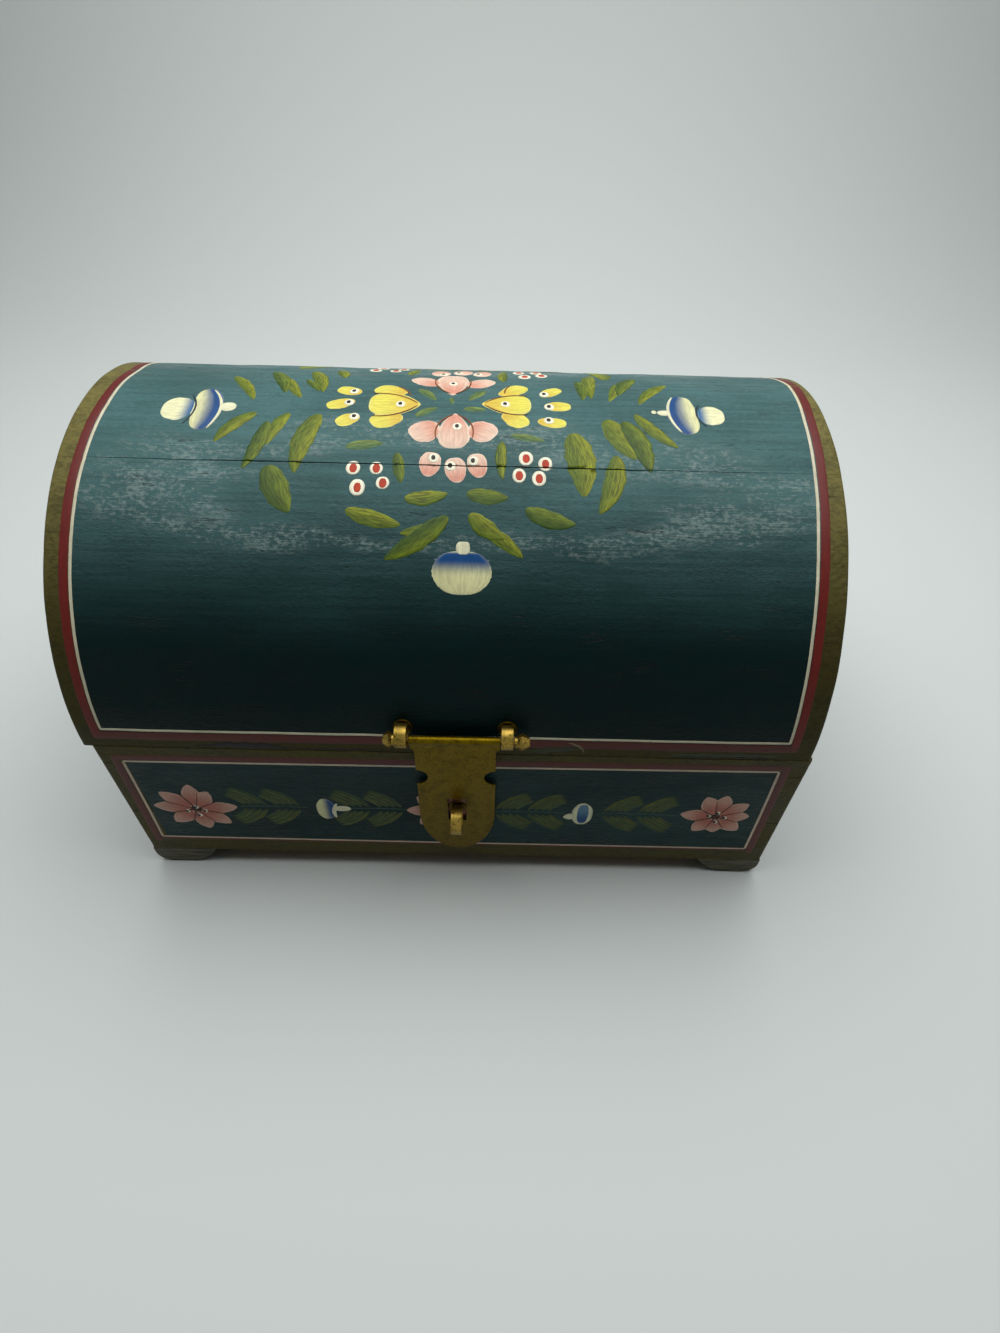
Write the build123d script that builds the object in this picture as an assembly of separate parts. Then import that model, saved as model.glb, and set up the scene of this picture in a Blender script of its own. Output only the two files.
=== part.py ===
from build123d import *

import os
from math import asin, cos, degrees, radians, sin

# Dome-top trinket box: a finger-jointed carcass on four block feet, a coopered
# barrel lid, two butt hinges at the back and a hasp plate that hangs on a rod
# at the front. Millimetres. While building, X 0 and Y 0 are the middle of the
# base, Z 0 is the floor, the front faces -Y.

# Carcass
box_width = 200.0
box_depth = 144.0
wall_height = 53.5
wall_thickness = 7.0
corner_radius = 1.2
lower_finger = 22.0
middle_finger = 24.0
glue_gap = 0.03

# Bottom board, held in a groove on all four walls
bottom_thickness = 4.0
bottom_raise = 3.0
groove_depth = 3.0

# Feet
foot_height = 8.0
foot_size = 21.0
foot_outer_radius = 5.0
foot_flat = 7.0
foot_inner_radius = 19.5

# Lid: a barrel whose axis lies a little below the rim
lid_extra_width = 1.5
lid_shift = -1.5
rim_gap = 0.2
axis_below_rim = 2.5
stave_thickness = 7.0
end_thickness = 8.0
lid_edge_radius = 1.0
front_seam_angles = (19.5, 33.0, 46.5, 66.6, 82.0)
open_seam_angle = front_seam_angles[3]
open_seam_gap = 0.3

# Strap eyes: two carry the rod, one is the latch
strap_thickness = 0.9
strap_width = 3.2
rod_eye_radius = 3.3
rod_eye_drop = 1.0
latch_eye_radius = 4.4
latch_eye_drop = 25.3
clinch_length = 5.5
washer_radius = 2.6
washer_thickness = 0.5
shank_clearance = 0.1
eye_spacing = 28.0
hasp_shift = 0.65

# Hasp rod and its knobs, of which the left one is shorter
rod_radius = 0.7
rod_rest_gap = 0.05
left_knob_length = 2.9
right_knob_length = 4.0
knob_flats_radius = 2.2
knob_collar_radius = 1.6
knob_tip_radius = 1.2
knob_collar_share = 0.18
knob_widest_share = 0.5
knob_socket_share = 0.6
knob_end_play = 0.4
knob_fit = 0.02

# Hasp plate
sheet_thickness = 0.5
running_clearance = 0.05
barrel_end_play = 0.15
curl_opening = (228.0, 318.0)
shoulder_height = 4.6
shoulder_bevel = 1.2
plate_width = 22.4
plate_length = 55.3
tongue_height = 18.6
notch_radius = 3.2
notch_drop = 17.7
slot_width = 5.4
slot_clearance = 1.2
slot_lift = 0.6
slot_corner = 0.6

# Hinges
hinge_inset = 38.0
leaf_width = 22.0
leaf_thickness = 0.8
leaf_margin = 1.7
leaf_corner = 1.0
knuckle_radius = 1.75
knuckle_length = 7.0
knuckle_play = 0.15
pin_radius = 0.8
hinge_setback = 0.3
hinge_nail_offset = 6.5
nail_width = 1.1
nail_length = 7.0
nail_head_width = 2.2
nail_head_height = 0.5
nail_fit = 0.02

# Derived sizes and places
lid_width = box_width + lid_extra_width
knob_lengths = {-1: left_knob_length, 1: right_knob_length}
front_y = -box_depth / 2
back_y = box_depth / 2
base_top = foot_height + wall_height
rim_z = base_top + rim_gap
dome_radius = box_depth / 2
dome_axis_z = rim_z - axis_below_rim
rim_angle = degrees(asin(axis_below_rim / dome_radius))
inner_radius = dome_radius - stave_thickness
hinge_axis_y = back_y + hinge_setback + knuckle_radius
hinge_axis_z = base_top + rim_gap / 2
leaf_depth = wall_thickness - leaf_margin
past = 5.0
past_angle = 5.0

sides = {"left": -1, "right": 1}
ends = {"front": -1, "back": 1}
nodes = {}


def block(x_limits, y_limits, z_limits):
    """A box between three pairs of limits, given in any order."""
    limits = [sorted(pair) for pair in (x_limits, y_limits, z_limits)]
    size = [high - low for low, high in limits]
    centre = [(high + low) / 2 for low, high in limits]
    return Pos(*centre) * Box(*size)


def rod_along_x(radius, length):
    """A cylinder along X, centred on the origin."""
    return Rot(0, 90, 0) * Cylinder(radius, length)


def carcass_envelope():
    """The outside of the four walls with its upright corners eased."""
    outline = RectangleRounded(box_width, box_depth, corner_radius)
    return Pos(0, 0, foot_height) * extrude(outline, wall_height)


def corner_block(side, end, low, high):
    """The wood where two walls cross, between two heights, with its glue gap inwards."""
    inset = wall_thickness + glue_gap
    x_limits = (side * (box_width / 2 + past), side * (box_width / 2 - inset))
    y_limits = (end * (box_depth / 2 + past), end * (box_depth / 2 - inset))
    return block(x_limits, y_limits, (low, high))


def bottom_board(grow=0.0):
    """The bottom board, or with grow the groove that it slides in."""
    half_width = box_width / 2 - wall_thickness + groove_depth - glue_gap + grow
    half_depth = box_depth / 2 - wall_thickness + groove_depth - glue_gap + grow
    low = foot_height + bottom_raise
    return block(
        (-half_width, half_width),
        (-half_depth, half_depth),
        (low - grow, low + bottom_thickness + grow),
    )


def finger_levels():
    """Heights of the finger edges, from the bottom of the walls to the rim."""
    first = foot_height + lower_finger
    return (foot_height - past, first, first + middle_finger, base_top + past)


def long_wall(end):
    """Front or back board: its fingers are the lowest and the highest."""
    bottom, low, high, top = finger_levels()
    wall = block(
        (-box_width / 2, box_width / 2),
        (end * box_depth / 2, end * (box_depth / 2 - wall_thickness)),
        (foot_height, base_top),
    )
    wall = wall & carcass_envelope()
    for side in sides.values():
        wall -= corner_block(side, end, low - glue_gap, high + glue_gap)
    return wall - bottom_board(grow=glue_gap)


def side_wall(side):
    """Side board: its middle fingers fill the sockets of the long walls."""
    bottom, low, high, top = finger_levels()
    wall = block(
        (side * box_width / 2, side * (box_width / 2 - wall_thickness)),
        (-box_depth / 2, box_depth / 2),
        (foot_height, base_top),
    )
    wall = wall & carcass_envelope()
    for end in ends.values():
        wall -= corner_block(side, end, bottom, low)
        wall -= corner_block(side, end, high, top)
    return wall - bottom_board(grow=glue_gap)


def foot(side, end):
    """A block foot, sawn to its outline as seen from the front."""
    profile = make_face(
        [
            Line((0, foot_height), (0, foot_outer_radius)),
            RadiusArc((0, foot_outer_radius), (foot_outer_radius, 0), -foot_outer_radius),
            Line((foot_outer_radius, 0), (foot_outer_radius + foot_flat, 0)),
            RadiusArc((foot_outer_radius + foot_flat, 0), (foot_size, foot_height), -foot_inner_radius),
            Line((foot_size, foot_height), (0, foot_height)),
        ]
    )
    solid = extrude(Plane.XZ * profile, -foot_size)
    solid = Pos(-box_width / 2, -box_depth / 2, 0) * solid
    if side > 0:
        solid = mirror(solid, Plane.YZ)
    if end > 0:
        solid = mirror(solid, Plane.XZ)
    return solid


def dome_point(angle, radius):
    """Y and Z at an angle above the horizontal, counted from the front."""
    turn = radians(angle)
    return (-radius * cos(turn), dome_axis_z + radius * sin(turn))


def seam_angles():
    """Every stave edge from the front rim over the crown to the back rim."""
    back_seam_angles = tuple(180 - angle for angle in reversed(front_seam_angles))
    return (rim_angle,) + front_seam_angles + back_seam_angles + (180 - rim_angle,)


def stave_middles():
    """The angle of the middle of each stave, where its flat inner face is square to it."""
    angles = seam_angles()
    return [(low + high) / 2 for low, high in zip(angles, angles[1:])]


def inner_corner(angle, middle):
    """Where the flat inner face of a stave meets the ray at an angle."""
    return dome_point(angle, inner_radius / cos(radians(angle - middle)))


def above_rim():
    """All the space that the lid may fill, above its rim."""
    far = dome_radius + past
    return block((-lid_width, lid_width), (-far, far), (rim_z, dome_axis_z + far))


def lid_envelope():
    """The outside of the lid: a barrel with eased end edges, cut off at the rim."""
    barrel = rod_along_x(dome_radius, lid_width)
    barrel = fillet(barrel.edges().filter_by(GeomType.CIRCLE), lid_edge_radius)
    return Pos(lid_shift, 0, dome_axis_z) * barrel & above_rim()


def half_gap(angle):
    """Half the width of the seam at an angle, as an angle."""
    gap = open_seam_gap if angle == open_seam_angle else glue_gap
    return degrees(gap / 2 / dome_radius)


def stave_edges(index):
    """The angles of the two edges of a stave, run past the rim on the lowest ones."""
    low, high = seam_angles()[index : index + 2]
    if index == 0:
        low -= past_angle
    if index == len(stave_middles()) - 1:
        high += past_angle
    return low, high


def lid_stave(index):
    """One stave: bevelled edges, round outside, flat inside."""
    low, high = stave_edges(index)
    middle = stave_middles()[index]
    low += half_gap(low)
    high -= half_gap(high)
    outside = dome_radius / cos(radians((high - low) / 2)) + past
    wedge = make_face(
        Polyline(
            inner_corner(low, middle),
            dome_point(low, outside),
            dome_point(high, outside),
            inner_corner(high, middle),
            close=True,
        )
    )
    wedge = extrude(Plane.YZ * wedge, lid_width, both=True)
    return wedge & lid_envelope()


def lid_end(side):
    """A half-round end board with one flat for each stave that is glued on it."""
    reach = inner_radius - glue_gap
    outline = Sketch()
    for index, middle in enumerate(stave_middles()):
        low, high = stave_edges(index)
        corners = [dome_point(angle, reach / cos(radians(angle - middle))) for angle in (low, high)]
        outline += make_face(Polyline((0, dome_axis_z), *corners, close=True))
    board = extrude(Plane.YZ * outline, end_thickness) & above_rim()
    start = lid_width / 2 - end_thickness if side > 0 else -lid_width / 2
    return Pos(lid_shift + start, 0, 0) * board


class Eye:
    """A strap eye: a loop outside the wood and two tails clinched inside it."""

    def __init__(self, x, root, outward, wood, radius):
        self.root = Vector(hasp_shift + x, *root)
        self.outward = Vector(0, *outward)
        self.wood = wood
        self.radius = radius
        self.hole_radius = radius - strap_thickness
        self.loop_reach = washer_thickness + radius
        centre = self.root + self.outward * self.loop_reach
        self.y = centre.Y
        self.z = centre.Z

    def strap(self):
        """The eye itself, as one bent strap."""
        middle = Pos(self.loop_reach, 0)
        inner = -self.wood - strap_thickness
        outer = washer_thickness + strap_thickness / 2
        outline = middle * Circle(self.radius)
        outline += Pos((inner + outer) / 2, 0) * Rectangle(outer - inner, 2 * strap_thickness)
        outline += Pos(-self.wood - strap_thickness / 2, 0) * Rectangle(strap_thickness, 2 * clinch_length)
        outline -= middle * Circle(self.hole_radius)
        plane = Plane(origin=self.root, x_dir=self.outward, z_dir=(1, 0, 0))
        return extrude(plane * outline, strap_width / 2, both=True)

    def shank_hole(self):
        """The mortise through the wood and the washer."""
        plane = Plane(origin=self.root, x_dir=(1, 0, 0), z_dir=self.outward)
        outline = Rectangle(strap_width + 2 * shank_clearance, 2 * (strap_thickness + shank_clearance))
        return extrude(plane * outline, self.wood + past, both=True)

    def washer(self):
        """The round washer between the wood and the loop."""
        plane = Plane(origin=self.root, x_dir=(1, 0, 0), z_dir=self.outward)
        return extrude(plane * Circle(washer_radius), washer_thickness) - self.shank_hole()


def rod_eye(side):
    """An eye of the hasp rod, square to the lowest front stave and a little below its middle."""
    middle = stave_middles()[0]
    outward = (-cos(radians(middle)), sin(radians(middle)))
    y, z = dome_point(middle, dome_radius)
    root = (y - rod_eye_drop * outward[1], z + rod_eye_drop * outward[0])
    return Eye(side * eye_spacing / 2, root, outward, stave_thickness, rod_eye_radius)


def latch_eye():
    """The latch eye, on the front board below the rim."""
    root = (front_y, base_top - latch_eye_drop)
    return Eye(0, root, (-1, 0), wall_thickness, latch_eye_radius)


def rod_axis():
    """Y and Z of the hasp rod, which hangs in the bottom of its two eyes."""
    eye = rod_eye(1)
    return (eye.y, eye.z - (eye.hole_radius - rod_radius - rod_rest_gap))


def knob_start():
    """How far the inner face of a knob is from the middle of the hasp."""
    return (eye_spacing + strap_width) / 2 + knob_end_play


def socket_depth(side):
    """How deep the rod goes into a knob."""
    return knob_lengths[side] * knob_socket_share


def hasp_rod():
    """The rod, as long as its two knobs need."""
    left, right = [side * (knob_start() + socket_depth(side) - knob_fit) for side in sides.values()]
    return Pos(hasp_shift + (left + right) / 2, *rod_axis()) * rod_along_x(rod_radius, right - left)


def octagon(x, flats_radius):
    """An octagon square to X."""
    plane = Plane(origin=(x, 0, 0), x_dir=(0, 1, 0), z_dir=(1, 0, 0))
    return plane * RegularPolygon(flats_radius, side_count=8, major_radius=False)


def rod_knob(side):
    """A knob with a round collar and eight filed flats that taper both ways, driven onto the rod."""
    length = knob_lengths[side]
    collar = length * knob_collar_share
    sections = [
        octagon(collar, knob_collar_radius),
        octagon(length * knob_widest_share, knob_flats_radius),
        octagon(length, knob_tip_radius),
    ]
    knob = loft(sections, ruled=True)
    knob += Pos(collar / 2, 0, 0) * rod_along_x(knob_collar_radius, collar)
    knob -= rod_along_x(rod_radius + knob_fit, 2 * socket_depth(side))
    knob = Pos(knob_start(), 0, 0) * knob
    if side < 0:
        knob = mirror(knob, Plane.YZ)
    return Pos(hasp_shift, *rod_axis()) * knob


def hasp_plate():
    """The plate: a curl round the rod, a waisted body, a slot and a rounded tongue."""
    rod_y, rod_z = rod_axis()
    bore = rod_radius + running_clearance
    curl_radius = bore + sheet_thickness
    half_barrel = (eye_spacing - strap_width) / 2 - barrel_end_play
    half_plate = plate_width / 2

    shoulder_low = -shoulder_height - shoulder_bevel
    outline = make_face(
        Polyline(
            (-half_barrel, 0),
            (half_barrel, 0),
            (half_barrel, -shoulder_height),
            (half_plate, shoulder_low),
            (half_plate, tongue_height - plate_length),
            (-half_plate, tongue_height - plate_length),
            (-half_plate, shoulder_low),
            (-half_barrel, -shoulder_height),
            close=True,
        )
    )
    outline += Pos(0, tongue_height - plate_length) * Ellipse(half_plate, tongue_height)
    for side in sides.values():
        outline -= Pos(side * half_plate, -notch_drop) * Circle(notch_radius)
    slot_height = 2 * (latch_eye_radius + slot_clearance)
    slot = RectangleRounded(slot_width, slot_height, slot_corner)
    outline -= Pos(0, latch_eye().z + slot_lift - rod_z) * slot

    back_plane = Plane(origin=(0, rod_y + curl_radius, rod_z), x_dir=(1, 0, 0), z_dir=(0, -1, 0))
    plate = extrude(back_plane * outline, sheet_thickness)

    curl = Circle(curl_radius)
    start, end = curl_opening
    reach = 3 * curl_radius
    rays = [(reach * cos(radians(angle)), reach * sin(radians(angle))) for angle in (start, end)]
    curl -= make_face(Polyline((0, 0), *rays, close=True))
    barrel = extrude(Plane.YZ * curl, half_barrel, both=True)
    plate += Pos(0, rod_y, rod_z) * barrel
    plate -= Pos(0, rod_y, rod_z) * rod_along_x(bore, 2 * eye_spacing)
    return Pos(hasp_shift, 0, 0) * plate


def hinge_x(side):
    """Middle of a hinge."""
    return side * (box_width / 2 - hinge_inset)


def leaf_pocket(side, is_lid, grow=0.0):
    """The flat part of a leaf, or with grow the pocket that it is let into."""
    face = rim_z if is_lid else base_top
    depth = leaf_thickness if is_lid else -leaf_thickness
    half_width = leaf_width / 2 + grow
    low_y = back_y - leaf_depth - grow
    high_y = back_y + (past if grow else hinge_setback - knuckle_play)
    away = grow if is_lid else -grow
    z_limits = (face - away, face + depth + away)
    return block((hinge_x(side) - half_width, hinge_x(side) + half_width), (low_y, high_y), z_limits)


def nail_places(side):
    """X and Y of the two nails of a leaf."""
    y = back_y - leaf_depth / 2
    return [(hinge_x(side) + step * hinge_nail_offset, y) for step in (-1, 1)]


def nail(place, is_lid, grow=0.0):
    """A square cut nail with a square sunk head that points into the wood, or with grow its hole."""
    parts = ((nail_width, nail_length), (nail_head_width, nail_head_height))
    solid = Part()
    for width, depth in parts:
        half = width / 2 + grow
        solid += block((-half, half), (-half, half), (-depth - grow, grow))
    if is_lid:
        return Pos(*place, rim_z) * Rot(180, 0, 0) * solid
    return Pos(*place, base_top) * solid


def knuckle(side, is_lid):
    """The curls of one leaf: the two outer ones on the base, the middle one on the lid."""
    inner_half = leaf_width / 2 - knuckle_length
    if is_lid:
        spans = [(-inner_half + knuckle_play, inner_half - knuckle_play)]
    else:
        spans = [(-leaf_width / 2, -inner_half), (inner_half, leaf_width / 2)]
    face = rim_z if is_lid else base_top
    back = face + leaf_thickness if is_lid else face - leaf_thickness
    curls = []
    for low, high in spans:
        place = Pos(hinge_x(side) + (low + high) / 2, hinge_axis_y, hinge_axis_z)
        curl = place * rod_along_x(knuckle_radius, high - low)
        x_limits = (hinge_x(side) + low, hinge_x(side) + high)
        curl += block(x_limits, (back_y, hinge_axis_y), (face, back))
        curls.append(curl)
    return curls


def hinge_leaf(side, is_lid):
    """One leaf with its curls, nail holes and bore."""
    flat = leaf_pocket(side, is_lid)
    inner_edges = flat.edges().filter_by(Axis.Z).group_by(Axis.Y)[0]
    leaf = fillet(inner_edges, leaf_corner)
    for curl in knuckle(side, is_lid):
        leaf += curl
    clearance = running_clearance if is_lid else 0
    bore = rod_along_x(pin_radius + clearance, 2 * leaf_width)
    leaf -= Pos(hinge_x(side), hinge_axis_y, hinge_axis_z) * bore
    for place in nail_places(side):
        leaf -= nail(place, is_lid, grow=nail_fit)
    return leaf


def hinge_pin(side):
    """The pin, held in the curls of the base leaf."""
    return Pos(hinge_x(side), hinge_axis_y, hinge_axis_z) * rod_along_x(pin_radius - glue_gap, leaf_width)


def hinge_nails(is_lid):
    """All nails of the base leaves or of the lid leaves."""
    return [nail(place, is_lid) for side in sides.values() for place in nail_places(side)]


def let_in_hinges(board, is_lid):
    """Cuts the leaf pockets and the nail holes of both hinges."""
    for side in sides.values():
        board -= leaf_pocket(side, is_lid, grow=glue_gap)
        for place in nail_places(side):
            board -= nail(place, is_lid, grow=nail_fit)
    return board


# Base
nodes["front_board"] = long_wall(ends["front"]) - latch_eye().shank_hole()
nodes["back_board"] = let_in_hinges(long_wall(ends["back"]), is_lid=False)
for name, side in sides.items():
    nodes[f"{name}_side_board"] = side_wall(side)
nodes["bottom_board"] = bottom_board()
for end_name, end in ends.items():
    for name, side in sides.items():
        nodes[f"foot_{end_name}_{name}"] = foot(side, end)
nodes["latch_eye"] = latch_eye().strap()
nodes["latch_washer"] = latch_eye().washer()

# Lid
for name, side in sides.items():
    nodes[f"lid_end_{name}"] = lid_end(side)
stave_count = len(stave_middles())
for index in range(stave_count):
    stave = lid_stave(index)
    if index == 0:
        for side in sides.values():
            stave -= rod_eye(side).shank_hole()
    if index == stave_count - 1:
        stave = let_in_hinges(stave, is_lid=True)
    nodes[f"lid_stave_{index + 1:02d}"] = stave
for name, side in sides.items():
    nodes[f"rod_eye_{name}"] = rod_eye(side).strap()
    nodes[f"rod_eye_washer_{name}"] = rod_eye(side).washer()
    nodes[f"rod_knob_{name}"] = rod_knob(side)
nodes["hasp_rod"] = hasp_rod()

# Hasp
nodes["hasp_plate"] = hasp_plate()

# Hinges
for name, side in sides.items():
    nodes[f"base_hinge_leaf_{name}"] = hinge_leaf(side, is_lid=False)
    nodes[f"lid_hinge_leaf_{name}"] = hinge_leaf(side, is_lid=True)
    nodes[f"hinge_pin_{name}"] = hinge_pin(side)
nodes["base_hinge_nails"] = hinge_nails(is_lid=False)
nodes["lid_hinge_nails"] = hinge_nails(is_lid=True)

# The origin is the middle of the footprint of the whole box, on the floor
solids = {name: Compound(part if isinstance(part, list) else part.solids()) for name, part in nodes.items()}
whole = Compound(list(solids.values())).bounding_box()
to_origin = Pos(-(whole.min.X + whole.max.X) / 2, -(whole.min.Y + whole.max.Y) / 2, 0)

os.makedirs("parts", exist_ok=True)
for name, solid in solids.items():
    export_step(to_origin * solid, f"parts/{name}.step")

rod_y, rod_z = rod_axis()
shift = to_origin.position
print("origin shift", round(shift.X, 4), round(shift.Y, 4))
print("hinge axis", round(hinge_axis_y + shift.Y, 4), round(hinge_axis_z, 4))
print("rod axis", round(rod_y + shift.Y, 4), round(rod_z, 4))
print("latch eye", round(latch_eye().y + shift.Y, 4), round(latch_eye().z, 4))
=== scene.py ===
from math import pi, radians

import bmesh
import bpy
import numpy as np
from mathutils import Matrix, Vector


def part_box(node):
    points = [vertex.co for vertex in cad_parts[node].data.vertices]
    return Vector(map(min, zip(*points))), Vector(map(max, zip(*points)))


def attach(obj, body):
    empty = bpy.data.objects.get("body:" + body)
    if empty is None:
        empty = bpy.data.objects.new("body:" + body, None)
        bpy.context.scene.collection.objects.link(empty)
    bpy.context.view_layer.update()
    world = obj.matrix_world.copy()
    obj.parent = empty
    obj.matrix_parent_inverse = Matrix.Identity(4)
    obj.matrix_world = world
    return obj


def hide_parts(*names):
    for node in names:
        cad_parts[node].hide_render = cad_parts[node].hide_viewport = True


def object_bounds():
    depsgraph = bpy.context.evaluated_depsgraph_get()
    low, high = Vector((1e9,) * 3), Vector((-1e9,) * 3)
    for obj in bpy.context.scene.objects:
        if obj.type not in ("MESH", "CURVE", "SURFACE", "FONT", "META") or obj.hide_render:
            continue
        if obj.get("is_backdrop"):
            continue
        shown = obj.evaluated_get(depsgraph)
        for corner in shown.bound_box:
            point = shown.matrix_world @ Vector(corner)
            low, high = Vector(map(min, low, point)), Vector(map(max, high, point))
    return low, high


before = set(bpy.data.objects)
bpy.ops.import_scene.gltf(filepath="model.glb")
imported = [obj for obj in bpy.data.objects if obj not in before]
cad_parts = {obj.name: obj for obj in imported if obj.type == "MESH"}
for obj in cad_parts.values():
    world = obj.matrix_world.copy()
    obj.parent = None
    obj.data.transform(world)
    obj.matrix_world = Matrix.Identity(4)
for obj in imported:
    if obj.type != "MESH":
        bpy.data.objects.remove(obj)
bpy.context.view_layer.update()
MM = 0.001

# Camera
# The box is seen from above its front edge, about 25 cm away, through the wide lens of
# a telephone that is tipped down by half a right angle. The image is 1000 by 1333.
focal_length_pixels = 726.4
image_height_pixels = 1333
sensor_long_side = 36.0
camera_place = (12.2, -192.7, 222.0)
camera_turns = (44.50, -1.15, 0.64)

camera_data = bpy.data.cameras.new("camera")
camera_data.sensor_width = sensor_long_side
camera_data.lens = focal_length_pixels / image_height_pixels * sensor_long_side
camera_data.clip_start = 0.01
camera = bpy.data.objects.new("camera", camera_data)
camera.location = [length * MM for length in camera_place]
camera.rotation_euler = [radians(angle) for angle in camera_turns]
bpy.context.scene.collection.objects.link(camera)
bpy.context.scene.camera = camera

# Table and room
# A pale paper sweep under and behind the box, with a broad soft lamp over it. The room in
# front is dim, so that the front of the lid falls into shade, but the camera, gloss and
# glass see it as pale as the paper.
sweep_half_width = 1500.0
sweep_front = -330.0
sweep_bend_start = 330.0
sweep_bend_radius = 260.0
sweep_height = 900.0


def colour(red, green, blue):
    """A colour given as it looks on a screen, 0 to 255, as the linear values that Blender takes."""
    screen = np.array((red, green, blue)) / 255
    linear = np.where(screen <= 0.04045, screen / 12.92, ((screen + 0.055) / 1.055) ** 2.4)
    return (*linear.tolist(), 1.0)


def fill(tree, node, inputs):
    """Gives sockets of a node, by name or number, their values or links."""
    for key, value in inputs.items():
        if isinstance(value, bpy.types.NodeSocket):
            tree.links.new(value, node.inputs[key])
        else:
            node.inputs[key].default_value = value


def add(tree, kind, inputs=(), **options):
    """Adds a shader node."""
    node = tree.nodes.new("ShaderNode" + kind)
    for key, value in options.items():
        setattr(node, key, value)
    fill(tree, node, dict(inputs))
    return node


def maths(tree, operation, first, second=0.0):
    """One sum on one or two values."""
    return add(tree, "Math", {0: first, 1: second}, operation=operation).outputs[0]


def plus(tree, first, second):
    """The first value plus the second."""
    return maths(tree, "ADD", first, second)


def minus(tree, first, second):
    """The first value less the second."""
    return maths(tree, "SUBTRACT", first, second)


def times(tree, first, second):
    """The first value times the second."""
    return maths(tree, "MULTIPLY", first, second)


def fade(tree, value, low, high):
    """Rises smoothly from 0 at low to 1 at high."""
    inputs = {"Value": value, "From Min": low, "From Max": high}
    return add(tree, "MapRange", inputs, interpolation_type="SMOOTHSTEP").outputs["Result"]


def blend(tree, factor, below, above):
    """Lays one colour over another."""
    return add(tree, "Mix", {0: factor, 6: below, 7: above}, data_type="RGBA").outputs[2]


def new_material(name):
    """An empty material: its node tree and its main shader."""
    material = bpy.data.materials.new(name)
    material.use_nodes = True
    tree = material.node_tree
    return material, tree, tree.nodes["Principled BSDF"]


def points_of(x, y, z):
    """Points from their X, Y and Z, which are spread to one shape."""
    return np.stack(np.broadcast_arrays(x, y, z), -1)


def sweep_profile():
    """Y and Z along the paper: flat, then a quarter circle, then straight up."""
    turn = np.linspace(0, pi / 2, 24)
    bend_y = sweep_bend_start + sweep_bend_radius * np.sin(turn)
    bend_z = sweep_bend_radius * (1 - np.cos(turn))
    y = np.concatenate(([sweep_front], bend_y, [bend_y[-1]]))
    z = np.concatenate(([0.0], bend_z, [sweep_height]))
    return y, z


def grid_faces(rows, columns, wrap=False):
    """The quads of a grid of points that are stored row by row. Wrap closes each row into a ring."""
    row = np.arange(rows - 1)[:, None] * columns
    column = np.arange(columns if wrap else columns - 1)[None, :]
    after = (column + 1) % columns
    corners = (row + column, row + after, row + columns + after, row + columns + column)
    return np.stack(corners, -1).reshape(-1, 4)


def new_mesh(name, points_mm, faces, smooth_angle=None):
    """A mesh object from points in millimetres and a list of faces."""
    mesh = bpy.data.meshes.new(name)
    mesh.from_pydata((np.asarray(points_mm) * MM).tolist(), [], faces)
    mesh.validate()
    if smooth_angle is not None:
        mesh.shade_smooth()
        mesh.set_sharp_from_angle(angle=radians(smooth_angle))
    piece = bpy.data.objects.new(name, mesh)
    bpy.context.scene.collection.objects.link(piece)
    return piece


profile_y, profile_z = sweep_profile()
sweep_x = np.array((-sweep_half_width, sweep_half_width))
sweep_points = points_of(sweep_x, profile_y[:, None], profile_z[:, None]).reshape(-1, 3)
sweep = new_mesh("paper_sweep", sweep_points, grid_faces(len(profile_y), 2)[:, ::-1].tolist(), 60)
paper, paper_tree, paper_shader = new_material("paper")
fill(paper_tree, paper_shader, {"Base Color": colour(206, 211, 208), "Roughness": 0.9})
sweep.data.materials.append(paper)
sweep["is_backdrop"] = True

world = bpy.data.worlds.new("room")
world.use_nodes = True
bpy.context.scene.world = world
room = world.node_tree
direction = add(room, "SeparateXYZ", {0: add(room, "TexCoord").outputs["Generated"]})
back_and_up = plus(room, direction.outputs["Z"], times(room, direction.outputs["Y"], 2.0))
room_colour = blend(room, fade(room, back_and_up, -0.1, 0.7), colour(34, 38, 40), colour(182, 188, 190))
ray = add(room, "LightPath").outputs
seen_as_backdrop = maths(room, "MAXIMUM", ray["Is Glossy Ray"], ray["Is Transmission Ray"])
seen_as_backdrop = maths(room, "MAXIMUM", ray["Is Camera Ray"], seen_as_backdrop)
room_colour = blend(room, seen_as_backdrop, room_colour, colour(206, 212, 209))
fill(room, room.nodes["Background"], {"Color": room_colour})


def soft_lamp(name, place, size, power):
    """A rectangular lamp that points straight down."""
    data = bpy.data.lights.new(name, "AREA")
    data.shape = "RECTANGLE"
    data.size = size[0] * MM
    data.size_y = size[1] * MM
    data.energy = power
    lamp = bpy.data.objects.new(name, data)
    lamp.location = [length * MM for length in place]
    bpy.context.scene.collection.objects.link(lamp)


soft_lamp("ceiling_lamp", (20, 130, 590), (700, 640), 4.3)

# Wood and ground paint
# The box is made of thin boards, bare inside. Outside it has a teal ground with a
# brown-green border under an old gloss varnish. On the lid the paint is made lighter
# towards the crown and darker low at the front and back, a painted light and shade, and a
# pale sheen is laid in an oval ring as a painted highlight. On the base the paint is
# lighter only in random patches.
bare_depth = 0.45
# The lighter teal and olive are a painted light on the crown of the lid and the darker ones a painted shade
# low on its front and back. On the base the darker ones are the ground, with random patches of the lighter.
teal_lit_and_faded = colour(72, 107, 107)
teal_shaded_and_fresh = colour(1, 27, 26)
teal_shadow = colour(1, 17, 19)
olive_lit_and_faded = colour(112, 104, 58)
olive_shaded_and_fresh = colour(66, 60, 28)
olive_shadow = colour(34, 31, 14)
# Painted highlight: a pale grey-teal laid in an oval ring on the lid where the lamp's sheen falls.
painted_sheen = colour(140, 158, 152)
grime = colour(24, 20, 15)
bare_light = colour(190, 150, 104)
bare_deep = colour(150, 108, 68)


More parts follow.
